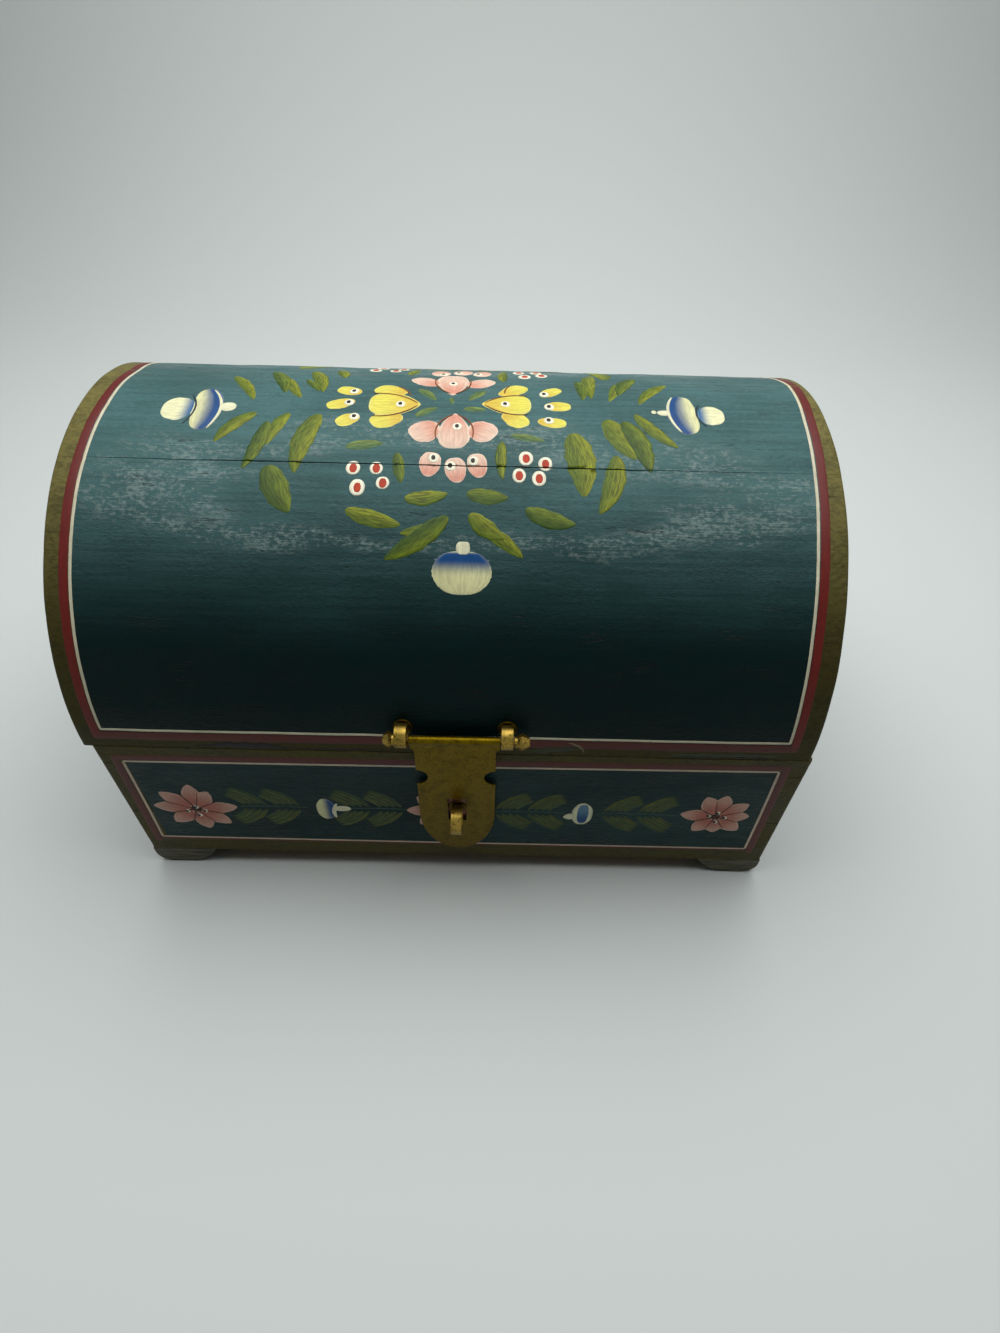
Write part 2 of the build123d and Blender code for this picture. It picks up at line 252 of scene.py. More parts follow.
def object_mm(tree, stretch=(1, 1, 1), offset=(0, 0, 0)):
    """Object coordinates in millimetres, each divided by its stretch."""
    scale = [1 / MM / length for length in stretch]
    inputs = {"Vector": add(tree, "TexCoord").outputs["Object"], "Scale": scale, "Location": offset}
    return add(tree, "Mapping", inputs).outputs[0]


def noise(tree, vector, detail=3.0, roughness=0.55):
    """Soft noise about one unit across, from 0 to 1."""
    inputs = {"Vector": vector, "Scale": 1.0, "Detail": detail, "Roughness": roughness}
    return add(tree, "TexNoise", inputs).outputs[0]


def cloudy(tree, stretch, detail, offset=(0, 0, 0), roughness=0.55):
    """Soft noise on the object itself, stretched to these millimetres."""
    return noise(tree, object_mm(tree, stretch, offset), detail, roughness)


def bump(tree, height_mm):
    """A bump from a height in millimetres."""
    return add(tree, "Bump", {"Height": height_mm, "Distance": MM}).outputs[0]


def weighted(tree, *terms):
    """The sum of values times their weights."""
    total = times(tree, terms[0][0], terms[0][1])
    for value, weight in terms[1:]:
        total = plus(tree, total, times(tree, value, weight))
    return total


def inside_span(tree, value, low, high):
    """1 between low and high, 0 outside."""
    above_low = maths(tree, "GREATER_THAN", value, low)
    return times(tree, above_low, maths(tree, "LESS_THAN", value, high))


def with_grain(along, length, width):
    """A stretch that is long on the axis of the grain and narrow on the other two."""
    return [length if axis == along else width for axis in "XYZ"]


def bare_wood(tree, along):
    """Colour of the planed inside: pale wood whose grain runs along one axis."""
    grain = cloudy(tree, with_grain(along, 60, 1.2), 6)
    return blend(tree, fade(tree, grain, 0.35, 0.7), bare_light, bare_deep)


def ground_paint(name, border, bare, light_and_fading, along="X", sheen_here=None):
    """Painted wood. The functions for the border, bare wood, lighter paint and sheen give 1 in the
    border, on bare wood, where the paint is made lighter and where a pale sheen is laid on. The
    lighter paint is a painted light towards the crown of the lid and random fading on the base;
    the sheen is a painted highlight."""
    material, tree, shader = new_material(name)
    streaks = cloudy(tree, with_grain(along, 38, 1.1), 5)
    hairs = cloudy(tree, with_grain(along, 9, 0.35), 3, (7, 3, 5))
    clouds = cloudy(tree, (34, 26, 26), 2, (4, 1, 9))
    patches = cloudy(tree, (15, 6, 6), 4, (31, 12, 8), 0.65)
    grain = cloudy(tree, (1.5, 1.0, 1.0), 4, (2, 9, 4), 0.7)
    specks = cloudy(tree, (0.45, 0.45, 0.45), 2, roughness=0.7)
    cracks = cloudy(tree, (17, 2.4, 2.4), 3, (8, 3, 1))
    crack_depth = maths(tree, "ABSOLUTE", minus(tree, cracks, 0.5))
    crack_depth = minus(tree, 1.0, fade(tree, crack_depth, 0.0, 0.022))
    crack_depth = times(tree, crack_depth, fade(tree, patches, 0.58, 0.68))
    # Painted light and shade: on the lid this mixes from the darker colours low down to the lighter ones at
    # the crown; on the base it only lightens the paint in random patches.
    light_and_fading_share = light_and_fading(tree)
    mottle = fade(tree, weighted(tree, (streaks, 0.35), (clouds, 0.35), (grain, 0.3)), 0.36, 0.62)
    teal = blend(tree, light_and_fading_share, teal_shaded_and_fresh, teal_lit_and_faded)
    teal = blend(tree, times(tree, mottle, 0.42), teal, teal_shadow)
    # A painted highlight: pale speckled paint in an oval ring on the lid.
    if sheen_here:
        speckle = fade(tree, weighted(tree, (grain, 0.55), (patches, 0.25), (hairs, 0.2)), 0.46, 0.6)
        teal = blend(tree, times(tree, times(tree, sheen_here(tree), speckle), 0.5), teal, painted_sheen)
    olive = blend(tree, light_and_fading_share, olive_shaded_and_fresh, olive_lit_and_faded)
    spots = fade(tree, weighted(tree, (grain, 0.6), (patches, 0.4)), 0.42, 0.62)
    olive = blend(tree, times(tree, spots, 0.5), olive, olive_shadow)
    here = border(tree)
    painted = blend(tree, here, teal, olive)
    painted = blend(tree, fade(tree, specks, 0.74, 0.8), painted, grime)
    painted = blend(tree, times(tree, crack_depth, 0.7), painted, grime)
    surface = blend(tree, bare(tree), painted, bare_wood(tree, along))
    varnish = minus(tree, 1.0, bare(tree))
    worn = fade(tree, weighted(tree, (patches, 0.75), (grain, 0.25)), 0.44, 0.58)
    roughness = weighted(tree, (worn, -0.2), (hairs, 0.2), (here, 0.1), (varnish, -0.34))
    roughness = plus(tree, roughness, 0.72)
    relief = weighted(tree, (streaks, 0.06), (hairs, 0.04), (grain, 0.05), (specks, 0.03), (clouds, 0.5))
    coarse = times(tree, maths(tree, "MAXIMUM", here, worn), grain)
    relief = bump(tree, plus(tree, relief, weighted(tree, (coarse, 0.11), (crack_depth, -0.08))))
    fill(tree, shader, {"Base Color": surface, "Roughness": roughness, "Normal": relief})
    fill(tree, shader, {"Specular IOR Level": 0.08})
    return material


# Carcass
# Four boards joined by fingers at the corners, with the bottom held in a groove. Their
# edges are eased by wear. The paint runs over the joints, which show as fine ticks.
base_left, base_right = (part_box("front_board")[end].x / MM for end in (0, 1))
base_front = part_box("front_board")[0].y / MM
base_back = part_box("back_board")[1].y / MM
base_bottom, base_top = (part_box("front_board")[end].z / MM for end in (0, 1))
base_border = 7.2
base_border_top = 5.2
base_border_bottom = 7.5
board_ease = 0.22
rim_painted = 2.0
rim_skin = 0.3
side_skin = 1.0
base_fading = 0.42
merge_distance = 0.002
flat_angle = 0.5
shading_angle = 30
bevel_angle = 40


def eased_copy(node, width, material, body="base"):
    """The node's own shape, merged into flat faces, with its sharp edges rounded by a bevel."""
    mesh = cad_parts[node].data.copy()
    mesh.materials.clear()
    form = bmesh.new()
    form.from_mesh(mesh)
    bmesh.ops.remove_doubles(form, verts=form.verts, dist=merge_distance * MM)
    bmesh.ops.dissolve_limit(form, angle_limit=radians(flat_angle), verts=form.verts, edges=form.edges)
    form.to_mesh(mesh)
    form.free()
    mesh.shade_smooth()
    mesh.set_sharp_from_angle(angle=radians(shading_angle))
    piece = bpy.data.objects.new(node + "_shaped", mesh)
    bpy.context.scene.collection.objects.link(piece)
    bevel = piece.modifiers.new("worn_edges", "BEVEL")
    bevel.width = width * MM
    bevel.segments = 2
    bevel.limit_method = "ANGLE"
    bevel.angle_limit = radians(bevel_angle)
    bevel.harden_normals = True
    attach(piece, body)
    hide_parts(node)
    mesh.materials.append(material)
    return piece


def base_places(tree):
    """X, Y and Z on the base in millimetres."""
    return add(tree, "SeparateXYZ", {0: object_mm(tree)}).outputs


def blend_value(tree, factor, below, above):
    """Mixes two values."""
    return add(tree, "Mix", {0: factor, 2: below, 3: above}).outputs[0]


def base_border_here(tree):
    """1 in the border that frames each of the four sides."""
    x, y, z = base_places(tree)
    long_inner = inside_span(tree, x, base_left + base_border, base_right - base_border)
    short_inner = inside_span(tree, y, base_front + base_border, base_back - base_border)
    on_front_board = maths(tree, "LESS_THAN", y, base_front + side_skin)
    on_back_board = maths(tree, "GREATER_THAN", y, base_back - side_skin)
    on_long = maths(tree, "MAXIMUM", on_front_board, on_back_board)
    across = blend_value(tree, on_long, short_inner, long_inner)
    upright = inside_span(tree, z, base_bottom + base_border_bottom, base_top - base_border_top)
    return minus(tree, 1.0, times(tree, across, upright))


def base_bare_here(tree):
    """1 on the inside of the base and on the rims of its boards."""
    x, y, z = base_places(tree)
    on_rim = maths(tree, "GREATER_THAN", z, base_top - rim_skin)
    depth = plus(tree, times(tree, on_rim, rim_painted - bare_depth), bare_depth)
    spans = []
    for value, low, high in ((x, base_left, base_right), (y, base_front, base_back)):
        spans.append(inside_span(tree, value, plus(tree, low, depth), minus(tree, high, depth)))
    return times(tree, *spans)


def base_faded_here(tree):
    """A little fading, evenly over the base."""
    return times(tree, cloudy(tree, (40, 40, 20), 2, (3, 3, 3)), base_fading)


long_paint = ground_paint("long_board_paint", base_border_here, base_bare_here, base_faded_here)
side_paint = ground_paint("side_board_paint", base_border_here, base_bare_here, base_faded_here, "Y")
for node, paint in (
    ("front_board", long_paint),
    ("back_board", long_paint),
    ("left_side_board", side_paint),
    ("right_side_board", side_paint),
):
    board = eased_copy(node, board_ease, paint)

# Bottom board
# A thin planed board that slides in the groove of the walls. It was never painted.
bottom_material, bottom_tree, bottom_shader = new_material("bottom_wood")
bottom_grain = cloudy(bottom_tree, (60, 0.9, 0.9), 6)
bottom_relief = bump(bottom_tree, times(bottom_tree, bottom_grain, 0.12))
bottom_look = {"Base Color": bare_wood(bottom_tree, "X"), "Normal": bottom_relief, "Roughness": 0.7}
fill(bottom_tree, bottom_shader, bottom_look)
bottom = eased_copy("bottom_board", board_ease, bottom_material)

# Feet
# Four low blocks glued under the corners, sawn with a round outside and a slanted inside
# and painted with what was left of the border colour, which is worn where they stand.
foot_material, foot_tree, foot_shader = new_material("foot_paint")
foot_streaks = cloudy(foot_tree, (9, 9, 0.9), 5)
foot_wear = cloudy(foot_tree, (2.5, 2.5, 1.6), 4, (3, 8, 2))
foot_colour = blend(foot_tree, fade(foot_tree, foot_streaks, 0.35, 0.65), olive_shadow, colour(84, 80, 58))
foot_colour = blend(foot_tree, fade(foot_tree, foot_wear, 0.6, 0.75), foot_colour, grime)
foot_relief = bump(foot_tree, weighted(foot_tree, (foot_streaks, 0.15), (foot_wear, 0.2)))
foot_look = {"Base Color": foot_colour, "Normal": foot_relief}
fill(foot_tree, foot_shader, {**foot_look, "Roughness": 0.55, "Specular IOR Level": 0.34})
for end in ("front", "back"):
    for side in ("left", "right"):
        foot = eased_copy(f"foot_{end}_{side}", 0.4, foot_material)

# Lid staves
# Eleven staves with bevelled edges, glued on the end boards and planed round by hand, so
# each is a little flatter than the circle. One seam at the front has opened.
stave_nodes = [name for name in sorted(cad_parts) if name.startswith("lid_stave_")]
lid_left, lid_right = (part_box(stave_nodes[0])[end].x / MM for end in (0, 1))
lid_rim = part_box(stave_nodes[0])[0].z / MM
dome_radius = 72.0
dome_axis_y = (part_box(stave_nodes[0])[0].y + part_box(stave_nodes[-1])[1].y) / 2 / MM
dome_axis_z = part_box("lid_stave_06")[1].z / MM - dome_radius
inner_radius = 65.0
front_seams = [19.5, 33.0, 46.5, 66.6, 82.0]
open_seam = 66.6
closed_half_gap = 0.015
open_half_gap = 0.16
gap_starts = (-96, -66)
gap_narrows = (36, 60)
gap_ends = (74, 92)
lid_end_ease = 1.0
stave_flatness = 0.10
stave_tip = 0.035
lid_waves = ((0.05, 61, 47), (0.04, 37, -29), (0.03, 23, 19), (0.02, 13, -31))

rim_angle = float(np.degrees(np.arcsin((lid_rim - dome_axis_z) / dome_radius)))
half_round = np.array([rim_angle, *front_seams])
seams = np.concatenate((half_round, 180 - half_round[::-1]))
chance = np.random.default_rng(11)
stave_tips = chance.uniform(-stave_tip, stave_tip, len(seams) - 1)
wave_starts = chance.uniform(0, 2 * pi, len(lid_waves))


def arc_angle(s):
    """The angle above the front horizon of a point that lies s millimetres past the crown, along the arc."""
    return 90 + np.degrees(s / dome_radius)


def stave_relief(x, angle):
    """How far the planed outside stands off the true cylinder: a shallow arch between two seams,
    a tip to one side, and slow waves along the lid."""
    index = np.clip(np.searchsorted(seams, angle) - 1, 0, len(seams) - 2)
    across = (angle - seams[index]) / (seams[index + 1] - seams[index]) * 2 - 1
    height = -stave_flatness * across**2 + stave_tips[index] * across
    s = np.radians(angle - 90) * dome_radius
    for (depth, length, width), start in zip(lid_waves, wave_starts):
        height = height + depth * np.sin(2 * pi * (x / length + s / width) + start)
    return height


def on_dome(x, s, lift):
    """A point on the lid: x along it, s past the crown along the arc, lift off the wood."""
    angle = arc_angle(s)
    turn = np.radians(angle)
    radius = dome_radius + stave_relief(x, angle) + lift
    return points_of(x, dome_axis_y - radius * np.cos(turn), dome_axis_z + radius * np.sin(turn))


def smooth_step(value, low, high):
    """Rises smoothly from 0 at low to 1 at high."""
    t = np.clip((value - low) / (high - low), 0, 1)
    return t * t * (3 - 2 * t)


def half_gap(x, angle):
    """Half the width of a seam. The open one narrows towards both ends of the lid."""
    if angle != open_seam:
        return np.full_like(x, closed_half_gap)
    opening = smooth_step(x, *gap_starts) * (1 - 0.6 * smooth_step(x, *gap_narrows))
    opening = opening * (1 - smooth_step(x, *gap_ends))
    opening = opening * (0.72 + 0.28 * np.sin(x / 2.9) * np.sin(x / 7.3 + 1))
    return closed_half_gap + (open_half_gap - closed_half_gap) * opening


def stave_shell(index):
    """A stave: the ring of its section, carried along X, with the outer end edges rounded over."""
    low, high = seams[index], seams[index + 1]
    middle = (low + high) / 2
    rise = np.array((0, 0.02, 0.08, 0.2, 0.4, 0.7, 1.0)) * lid_end_ease
    inner_x = np.linspace(lid_left + lid_end_ease, lid_right - lid_end_ease, 130)
    x = np.concatenate((lid_left + rise[:-1], inner_x, lid_right - rise[-2::-1]))
    from_end = np.minimum(np.minimum(x - lid_left, lid_right - x), lid_end_ease)
    drop = lid_end_ease - np.sqrt(lid_end_ease**2 - (lid_end_ease - from_end) ** 2)
    first = low + np.degrees(half_gap(x, low) / dome_radius)[:, None]
    last = high - np.degrees(half_gap(x, high) / dome_radius)[:, None]
    angles = first + (last - first) * np.linspace(0, 1, 15)[None, :]
    outer = on_dome(x[:, None], np.radians(angles - 90) * dome_radius, -drop[:, None])
    gap = np.degrees(closed_half_gap / dome_radius)
    inner = []
    for angle in (high - gap, low + gap):
        turn = np.radians(angle)
        radius = inner_radius / np.cos(np.radians(angle - middle))
        corner = (dome_axis_y - radius * np.cos(turn), dome_axis_z + radius * np.sin(turn))
        inner.append(points_of(x, *point_at_rim(corner, middle)))
    section = np.concatenate((outer, np.stack(inner, 1)), 1)
    rows, columns = section.shape[:2]
    faces = grid_faces(rows, columns, wrap=True)[:, ::-1].tolist()
    faces.append(list(range(columns)))
    faces.append(list(range(rows * columns - 1, (rows - 1) * columns - 1, -1)))
    return section.reshape(-1, 3), faces


def point_at_rim(point, middle):
    """Slides an inner corner along the flat inside of its stave until it is no lower than the rim."""
    y, z = point
    if z >= lid_rim:
        return point
    turn = np.radians(middle)
    across = (inner_radius - (lid_rim - dome_axis_z) * np.sin(turn)) / np.cos(turn)
    return (dome_axis_y - across, lid_rim)


def distance_of(tree, across, up):
    """The square root of the sum of two squares."""
    return maths(tree, "SQRT", plus(tree, times(tree, across, across), times(tree, up, up)))


def lid_places(tree):
    """X, the distance from the dome's axis, and Z on the lid, in millimetres."""
    places = add(tree, "SeparateXYZ", {0: object_mm(tree)}).outputs
    y = minus(tree, places["Y"], dome_axis_y)
    z = minus(tree, places["Z"], dome_axis_z)
    return places["X"], distance_of(tree, y, z), places["Z"]


lid_border_left = 7.0
lid_border_right = 5.4
lid_border_arch = 7.0
lid_border_low = 5.5
lid_end_skin = 0.6
lid_bare_shell = 0.9
# Painted light and shade on the lid: between these heights its paint turns from the darker colours to the
# lighter ones.
painted_light_low = dome_axis_z + 38
painted_light_high = dome_axis_z + 78
# The oval ring of the painted highlight on the lid.
sheen_middle = dome_axis_z + 61.5
sheen_half_length = 80.0
sheen_half_height = 7.5
sheen_ring = 1.45
sheen_core = 0.02
sheen_edge = 0.34


def lid_border_here(tree):
    """1 in the border along the ends and the rim, and round the edge of the two ends."""
    x, distance, z = lid_places(tree)
    on_top = inside_span(tree, x, lid_left + lid_border_left, lid_right - lid_border_right)
    between_ends = inside_span(tree, x, lid_left + lid_end_skin, lid_right - lid_end_skin)
    in_arch = maths(tree, "LESS_THAN", distance, dome_radius - lid_border_arch)
    end_inner = times(tree, minus(tree, 1.0, between_ends), in_arch)
    above = maths(tree, "GREATER_THAN", z, lid_rim + lid_border_low)
    return minus(tree, 1.0, times(tree, above, maths(tree, "MAXIMUM", on_top, end_inner)))


def lid_bare_here(tree):
    """1 on the inside of the lid and on its rim."""
    x, distance, _ = lid_places(tree)
    inside_x = inside_span(tree, x, lid_left + bare_depth, lid_right - bare_depth)
    return times(tree, inside_x, maths(tree, "LESS_THAN", distance, dome_radius - lid_bare_shell))


def lid_painted_light_here(tree):
    """Rises from the lower front and back of the lid to its crown: painted light above, painted shade below.
    """
    z = lid_places(tree)[2]
    ripple = times(tree, cloudy(tree, (60, 20, 20), 3, (6, 2, 4)), 12.0)
    return fade(tree, plus(tree, z, ripple), painted_light_low, painted_light_high)


def lid_painted_sheen_here(tree):
    """1 along a wide oval ring on the front and the back of the crown, where a highlight is painted."""
    x, _, z = lid_places(tree)
    along = maths(tree, "DIVIDE", x, sheen_half_length)
    up = maths(tree, "DIVIDE", minus(tree, z, sheen_middle), sheen_half_height)
    warp = times(tree, cloudy(tree, (24, 10, 5), 3, (1, 7, 3)), 0.9)
    reach = plus(tree, distance_of(tree, along, up), warp)
    away = maths(tree, "ABSOLUTE", minus(tree, reach, sheen_ring))
    return minus(tree, 1.0, fade(tree, away, sheen_core, sheen_edge))


# The lid's paint is lighter towards the crown and darker low down, a painted light and shade, with a painted
# highlight in an oval ring.
lid_paint = ground_paint("lid_paint", lid_border_here, lid_bare_here, lid_painted_light_here, "X", lid_painted_sheen_here)
for index, node in enumerate(stave_nodes):
    points, faces = stave_shell(index)
    stave = new_mesh(node + "_shaped", points, faces, shading_angle)
    stave.data.materials.append(lid_paint)
    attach(stave, "lid")
    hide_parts(node)

# Lid ends
# Two half-round boards inside the staves, one flat for each stave. Only their outer
# faces and, with the lid open, their inner faces show.
# The ends take the same painted light towards the crown and painted shade low down.
end_paint = ground_paint("lid_end_paint", lid_border_here, lid_bare_here, lid_painted_light_here, "Y")
for side in ("left", "right"):
    lid_end = eased_copy(f"lid_end_{side}", 0.08, end_paint, "lid")

# Brush strokes
# All ornament is painted free-hand in single strokes of thick paint. A stroke is a flat
# bead: it starts blunt, swells, and runs out to a point or a round end.
plain_stroke = dict(bend=0.0, blunt=0.5, sharp=0.5, layer=0, ragged=0.02, cut=None, rows=22)
stroke_ring = 16
embed = 0.14
underside = 0.08
first_layer = 0.05
layer_step = 0.05
lead_of_length = 0.07
lead_of_width = 0.3


def brushful(root, tip, rim, **turns):
    """The paint of a stroke: its screen colours at the root, the tip and the rim, and where they turn."""
    return dict(root=colour(*root), tip=colour(*tip), rim=colour(*rim), **turns)


def stroke(start, end, width, paint, **shape):
    """One stroke, as a dictionary for paint_strokes. Cut keeps it on one side of a height."""
    return {**plain_stroke, "start": start, "end": end, "width": width, "paint": paint, **shape}


def stroke_shape(spec):
    """Centre line and half widths: a straight line bowed by a parabola to its left, with half width
    as u to the power blunt times (1 - u) to the power sharp."""
    blunt, sharp = spec["blunt"], spec["sharp"]
    u = (1 - np.cos(np.linspace(0, pi, spec["rows"] + 2)[1:-1])) / 2
    start, end = np.array(spec["start"], float), np.array(spec["end"], float)
    run = end - start
    left = np.array((-run[1], run[0])) / np.hypot(*run)
    centre = start + run * u[:, None] + left * (spec["bend"] * 4 * u * (1 - u))[:, None]
    slope = np.gradient(centre, u, axis=0)
    side = np.stack((-slope[:, 1], slope[:, 0]), -1) / np.hypot(slope[:, 0], slope[:, 1])[:, None]
    widest = blunt / (blunt + sharp)
    full = widest**blunt * (1 - widest) ** sharp
    half = spec["width"] / 2 * u**blunt * (1 - u) ** sharp / full
    return u, centre, side, half


def stroke_length(spec):
    """The straight distance between the two ends."""
    return float(np.hypot(*np.subtract(spec["end"], spec["start"])))


def from_end(spec, u):
    """How far each step lies from the nearer end, in millimetres."""
    return np.minimum(u, 1 - u) * stroke_length(spec)


def stroke_points(spec, place):
    """Points of one stroke on its surface: a ring round the centre line at each step, and a pole at
    each end. Its edge wavers by two sine waves along it."""
    u, centre, side, half = stroke_shape(spec)
    v = np.linspace(0, 2 * pi, stroke_ring, endpoint=False)
    phase = spec["start"][0] + spec["start"][1] + np.where(np.cos(v) > 0, 0.0, 2.0)[None, :]
    travel = (u * stroke_length(spec))[:, None]
    waver = 1 + spec["ragged"] * (np.sin(travel * 1.3 + phase) + 0.7 * np.sin(travel * 3.1 + 2 * phase))
    flat = centre[:, None, :] + side[:, None, :] * (half[:, None] * np.cos(v)[None, :] * waver)[..., None]
    top = first_layer + layer_step * spec["layer"]
    lead = min(lead_of_length * stroke_length(spec), lead_of_width * spec["width"])
    ends = np.sqrt(1 - (1 - np.clip(from_end(spec, u) / lead, 0, 1)) ** 2)
    rise = np.where(np.sin(v) > 0, np.abs(np.sin(v)) ** 0.45, 0)[None, :] * ends[:, None]
    lift = -embed + (top + embed) * rise - underside * (np.sin(v) < -0.01)
    first = np.array(spec["start"], float)[None]
    last = np.array(spec["end"], float)[None]
    plane = np.concatenate((first, flat.reshape(-1, 2), last))
    lifts = np.concatenate(([-embed], lift.ravel(), [-embed]))
    if spec["cut"]:
        height, keep_above = spec["cut"]
        plane[:, 1] = np.maximum(plane[:, 1], height) if keep_above else np.minimum(plane[:, 1], height)
    return u, v, place(plane[:, 0], plane[:, 1], lifts)


def stroke_faces(rows):
    """Quads between the rings and triangles to the two poles, all facing outwards."""
    quads = grid_faces(rows, stroke_ring, wrap=True) + 1
    ring = np.arange(stroke_ring)
    after = (ring + 1) % stroke_ring
    last = rows * stroke_ring + 1
    first_fan = np.stack((np.zeros_like(ring), after + 1, ring + 1), -1)
    last_ring = (rows - 1) * stroke_ring + 1
    last_fan = np.stack((np.full_like(ring, last), last_ring + ring, last_ring + after), -1)
    return quads, np.concatenate((first_fan, last_fan))


def stroke_tints(spec, u, v):
    """Colour of each point: from root to tip along or across the stroke, and then to the rim."""
    paint = spec["paint"]
    root, tip, rim = (np.array(paint[key]) for key in ("root", "tip", "rim"))
    low, high = paint.get("turn", (0.2, 0.9))
    along = np.repeat(u[:, None], len(v), 1)
    across = np.repeat((1 + np.cos(v[None, :])) / 2, len(u), 0)
    mix = smooth_step(across if paint.get("across") else along, low, high)[..., None]
    tint = root + (tip - root) * mix
    near_end = 1 - np.clip(from_end(spec, u) / (spec["width"] / 2), 0, 1)
    edge = np.maximum(np.abs(np.cos(v))[None, :], near_end[:, None])
    rim_low, rim_high = paint.get("rim_turn", (0.82, 0.97))
    tint = tint + (rim - tint) * smooth_step(edge, rim_low, rim_high)[..., None]
    inner = tint.reshape(-1, 4)
    return np.concatenate((rim[None], inner, rim[None]))


def paint_strokes(name, strokes, place, body, material):
    """Joins strokes into one piece. It carries the tint of each point, and where the point lies along
    and across its stroke, for the marks of the bristles."""
    points, faces, tints, marks = [], [], [], []
    offset = 0
    for number, spec in enumerate(strokes):
        u, v, placed = stroke_points(spec, place)
        quads, triangles = stroke_faces(spec["rows"])
        faces += (quads + offset).tolist() + (triangles + offset).tolist()
        offset += len(placed)
        points.append(placed)
        tints.append(stroke_tints(spec, u, v))
        along = np.concatenate(([0], np.repeat(u, len(v)), [1])) * stroke_length(spec)
        across = np.concatenate(([0], np.tile(np.cos(v), len(u)), [0])) * spec["width"] / 2
        marks.append(np.stack((along, across, np.full_like(along, number * 3.7)), -1))
    piece = new_mesh(name, np.concatenate(points), faces)
    piece.data.shade_smooth()
    tint = piece.data.attributes.new("tint", "FLOAT_COLOR", "POINT")
    tint.data.foreach_set("color", np.concatenate(tints).astype(np.float32).ravel())
    mark = piece.data.attributes.new("bristles", "FLOAT_VECTOR", "POINT")
    mark.data.foreach_set("vector", np.concatenate(marks).astype(np.float32).ravel())
    piece.data.materials.append(material)
    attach(piece, body)


def stroke_paint(name, streak_size, streak_depth, roughness=0.42):
    """Thick paint in the tint of each stroke, with the marks of the bristles along it."""
    material, tree, shader = new_material(name)
    tint = add(tree, "Attribute", attribute_name="tint").outputs["Color"]
    marks = add(tree, "Attribute", attribute_name="bristles").outputs["Vector"]
    scale = [1 / length for length in streak_size]
    streaks = noise(tree, add(tree, "Mapping", {"Vector": marks, "Scale": scale}).outputs[0], 3)
    blots = cloudy(tree, (1.3, 1.3, 1.3), 3)
    shade = times(tree, fade(tree, streaks, 0.3, 0.7), streak_depth)
    shade = plus(tree, shade, 1 - streak_depth / 2)
    shade = times(tree, shade, plus(tree, times(tree, blots, 0.24), 0.88))
    shaded = add(tree, "VectorMath", {0: tint, "Scale": shade}, operation="SCALE").outputs[0]
    relief = bump(tree, weighted(tree, (streaks, 0.035), (blots, 0.03)))
    fill(tree, shader, {"Base Color": shaded, "Normal": relief})
    fill(tree, shader, {"Roughness": roughness, "Specular IOR Level": 0.2})
    return material


petal_paint = stroke_paint("petal_paint", (4.0, 0.55, 1.0), 0.26)
leaf_paint = stroke_paint("leaf_paint", (2.8, 0.27, 1.0), 1.05, 0.5)

# Border lines
# A dark red band and a narrow cream line inside it, drawn by hand along the edge of the
# teal ground on the lid and on each side of the base.
band_red = brushful((102, 27, 21), (94, 25, 21), (80, 28, 22))
band_dark = brushful((84, 30, 20), (78, 28, 18), (58, 32, 18))
line_cream = brushful((206, 200, 172), (200, 192, 166), (176, 170, 146))
line_old = brushful((196, 176, 154), (190, 170, 150), (160, 138, 122))
line_width = 0.88
band_width = 2.8
thin_band = 1.1
band_overlap = 0.1
frame_bow = -0.15
plain_low = (15.4, 15.4)
plain_high = (55.9, 55.9)


def ruled(start, end, width, paint, layer, bend=0.0):
    """A long even stroke."""
    return stroke(start, end, width, paint, bend=bend, blunt=0.02, sharp=0.02, layer=layer, rows=150)


def on_flat(axis, face, out):
    """Places on a flat side that faces along X or Y, with out 1 or -1. Of the two numbers of a place,
    the first counts to the right as seen from outside, and the second is Z."""

    def place(across, z, lift):
        across = across * (out if axis == "X" else -out)
        away = face + out * lift
        return points_of(away, across, z) if axis == "X" else points_of(across, away, z)

    return place


def frame_lines(left, right, low, high):
    """Four cream lines in a frame, and the dark red bands outside them. The lowest band is thin."""
    lines = []
    for start, end, away, width in (
        ((left[0], low[0]), (left[1], high[0]), (-1, 0), band_width),
        ((right[0], low[1]), (right[1], high[1]), (1, 0), band_width),
        ((left[0], low[0]), (right[0], low[1]), (0, -1), thin_band),
        ((left[1], high[0]), (right[1], high[1]), (0, 1), band_width),
    ):
        out = np.array(away) * ((line_width + width) / 2 - band_overlap)
        past_end = np.sign(np.subtract(end, start)) * (np.abs(away) == 0) * band_width
        lines.append(ruled(start + out - past_end, end + out + past_end, width, band_dark, 0))
        lines.append(ruled(start, end, line_width, line_old, 1, frame_bow))
    return lines


front_lines = frame_lines((-93.2, -92.3), (94.0, 93.1), (15.5, 15.0), (55.0, 56.3))
on_front = on_flat("Y", base_front, -1)
paint_strokes("front_border_lines", front_lines, on_front, "base", petal_paint)
back_left, back_right = base_border - base_right, -base_left - base_border
back_lines = frame_lines((back_left, back_left), (back_right, back_right), plain_low, plain_high)
paint_strokes("back_border_lines", back_lines, on_flat("Y", base_back, 1), "base", petal_paint)
for name, face, out in (("left", base_left, -1), ("right", base_right, 1)):
    low_y, high_y = sorted((out * (base_front + base_border), out * (base_back - base_border)))
    side_lines = frame_lines((low_y, low_y), (high_y, high_y), plain_low, plain_high)
    paint_strokes(f"{name}_side_border_lines", side_lines, on_flat("X", face, out), "base", petal_paint)

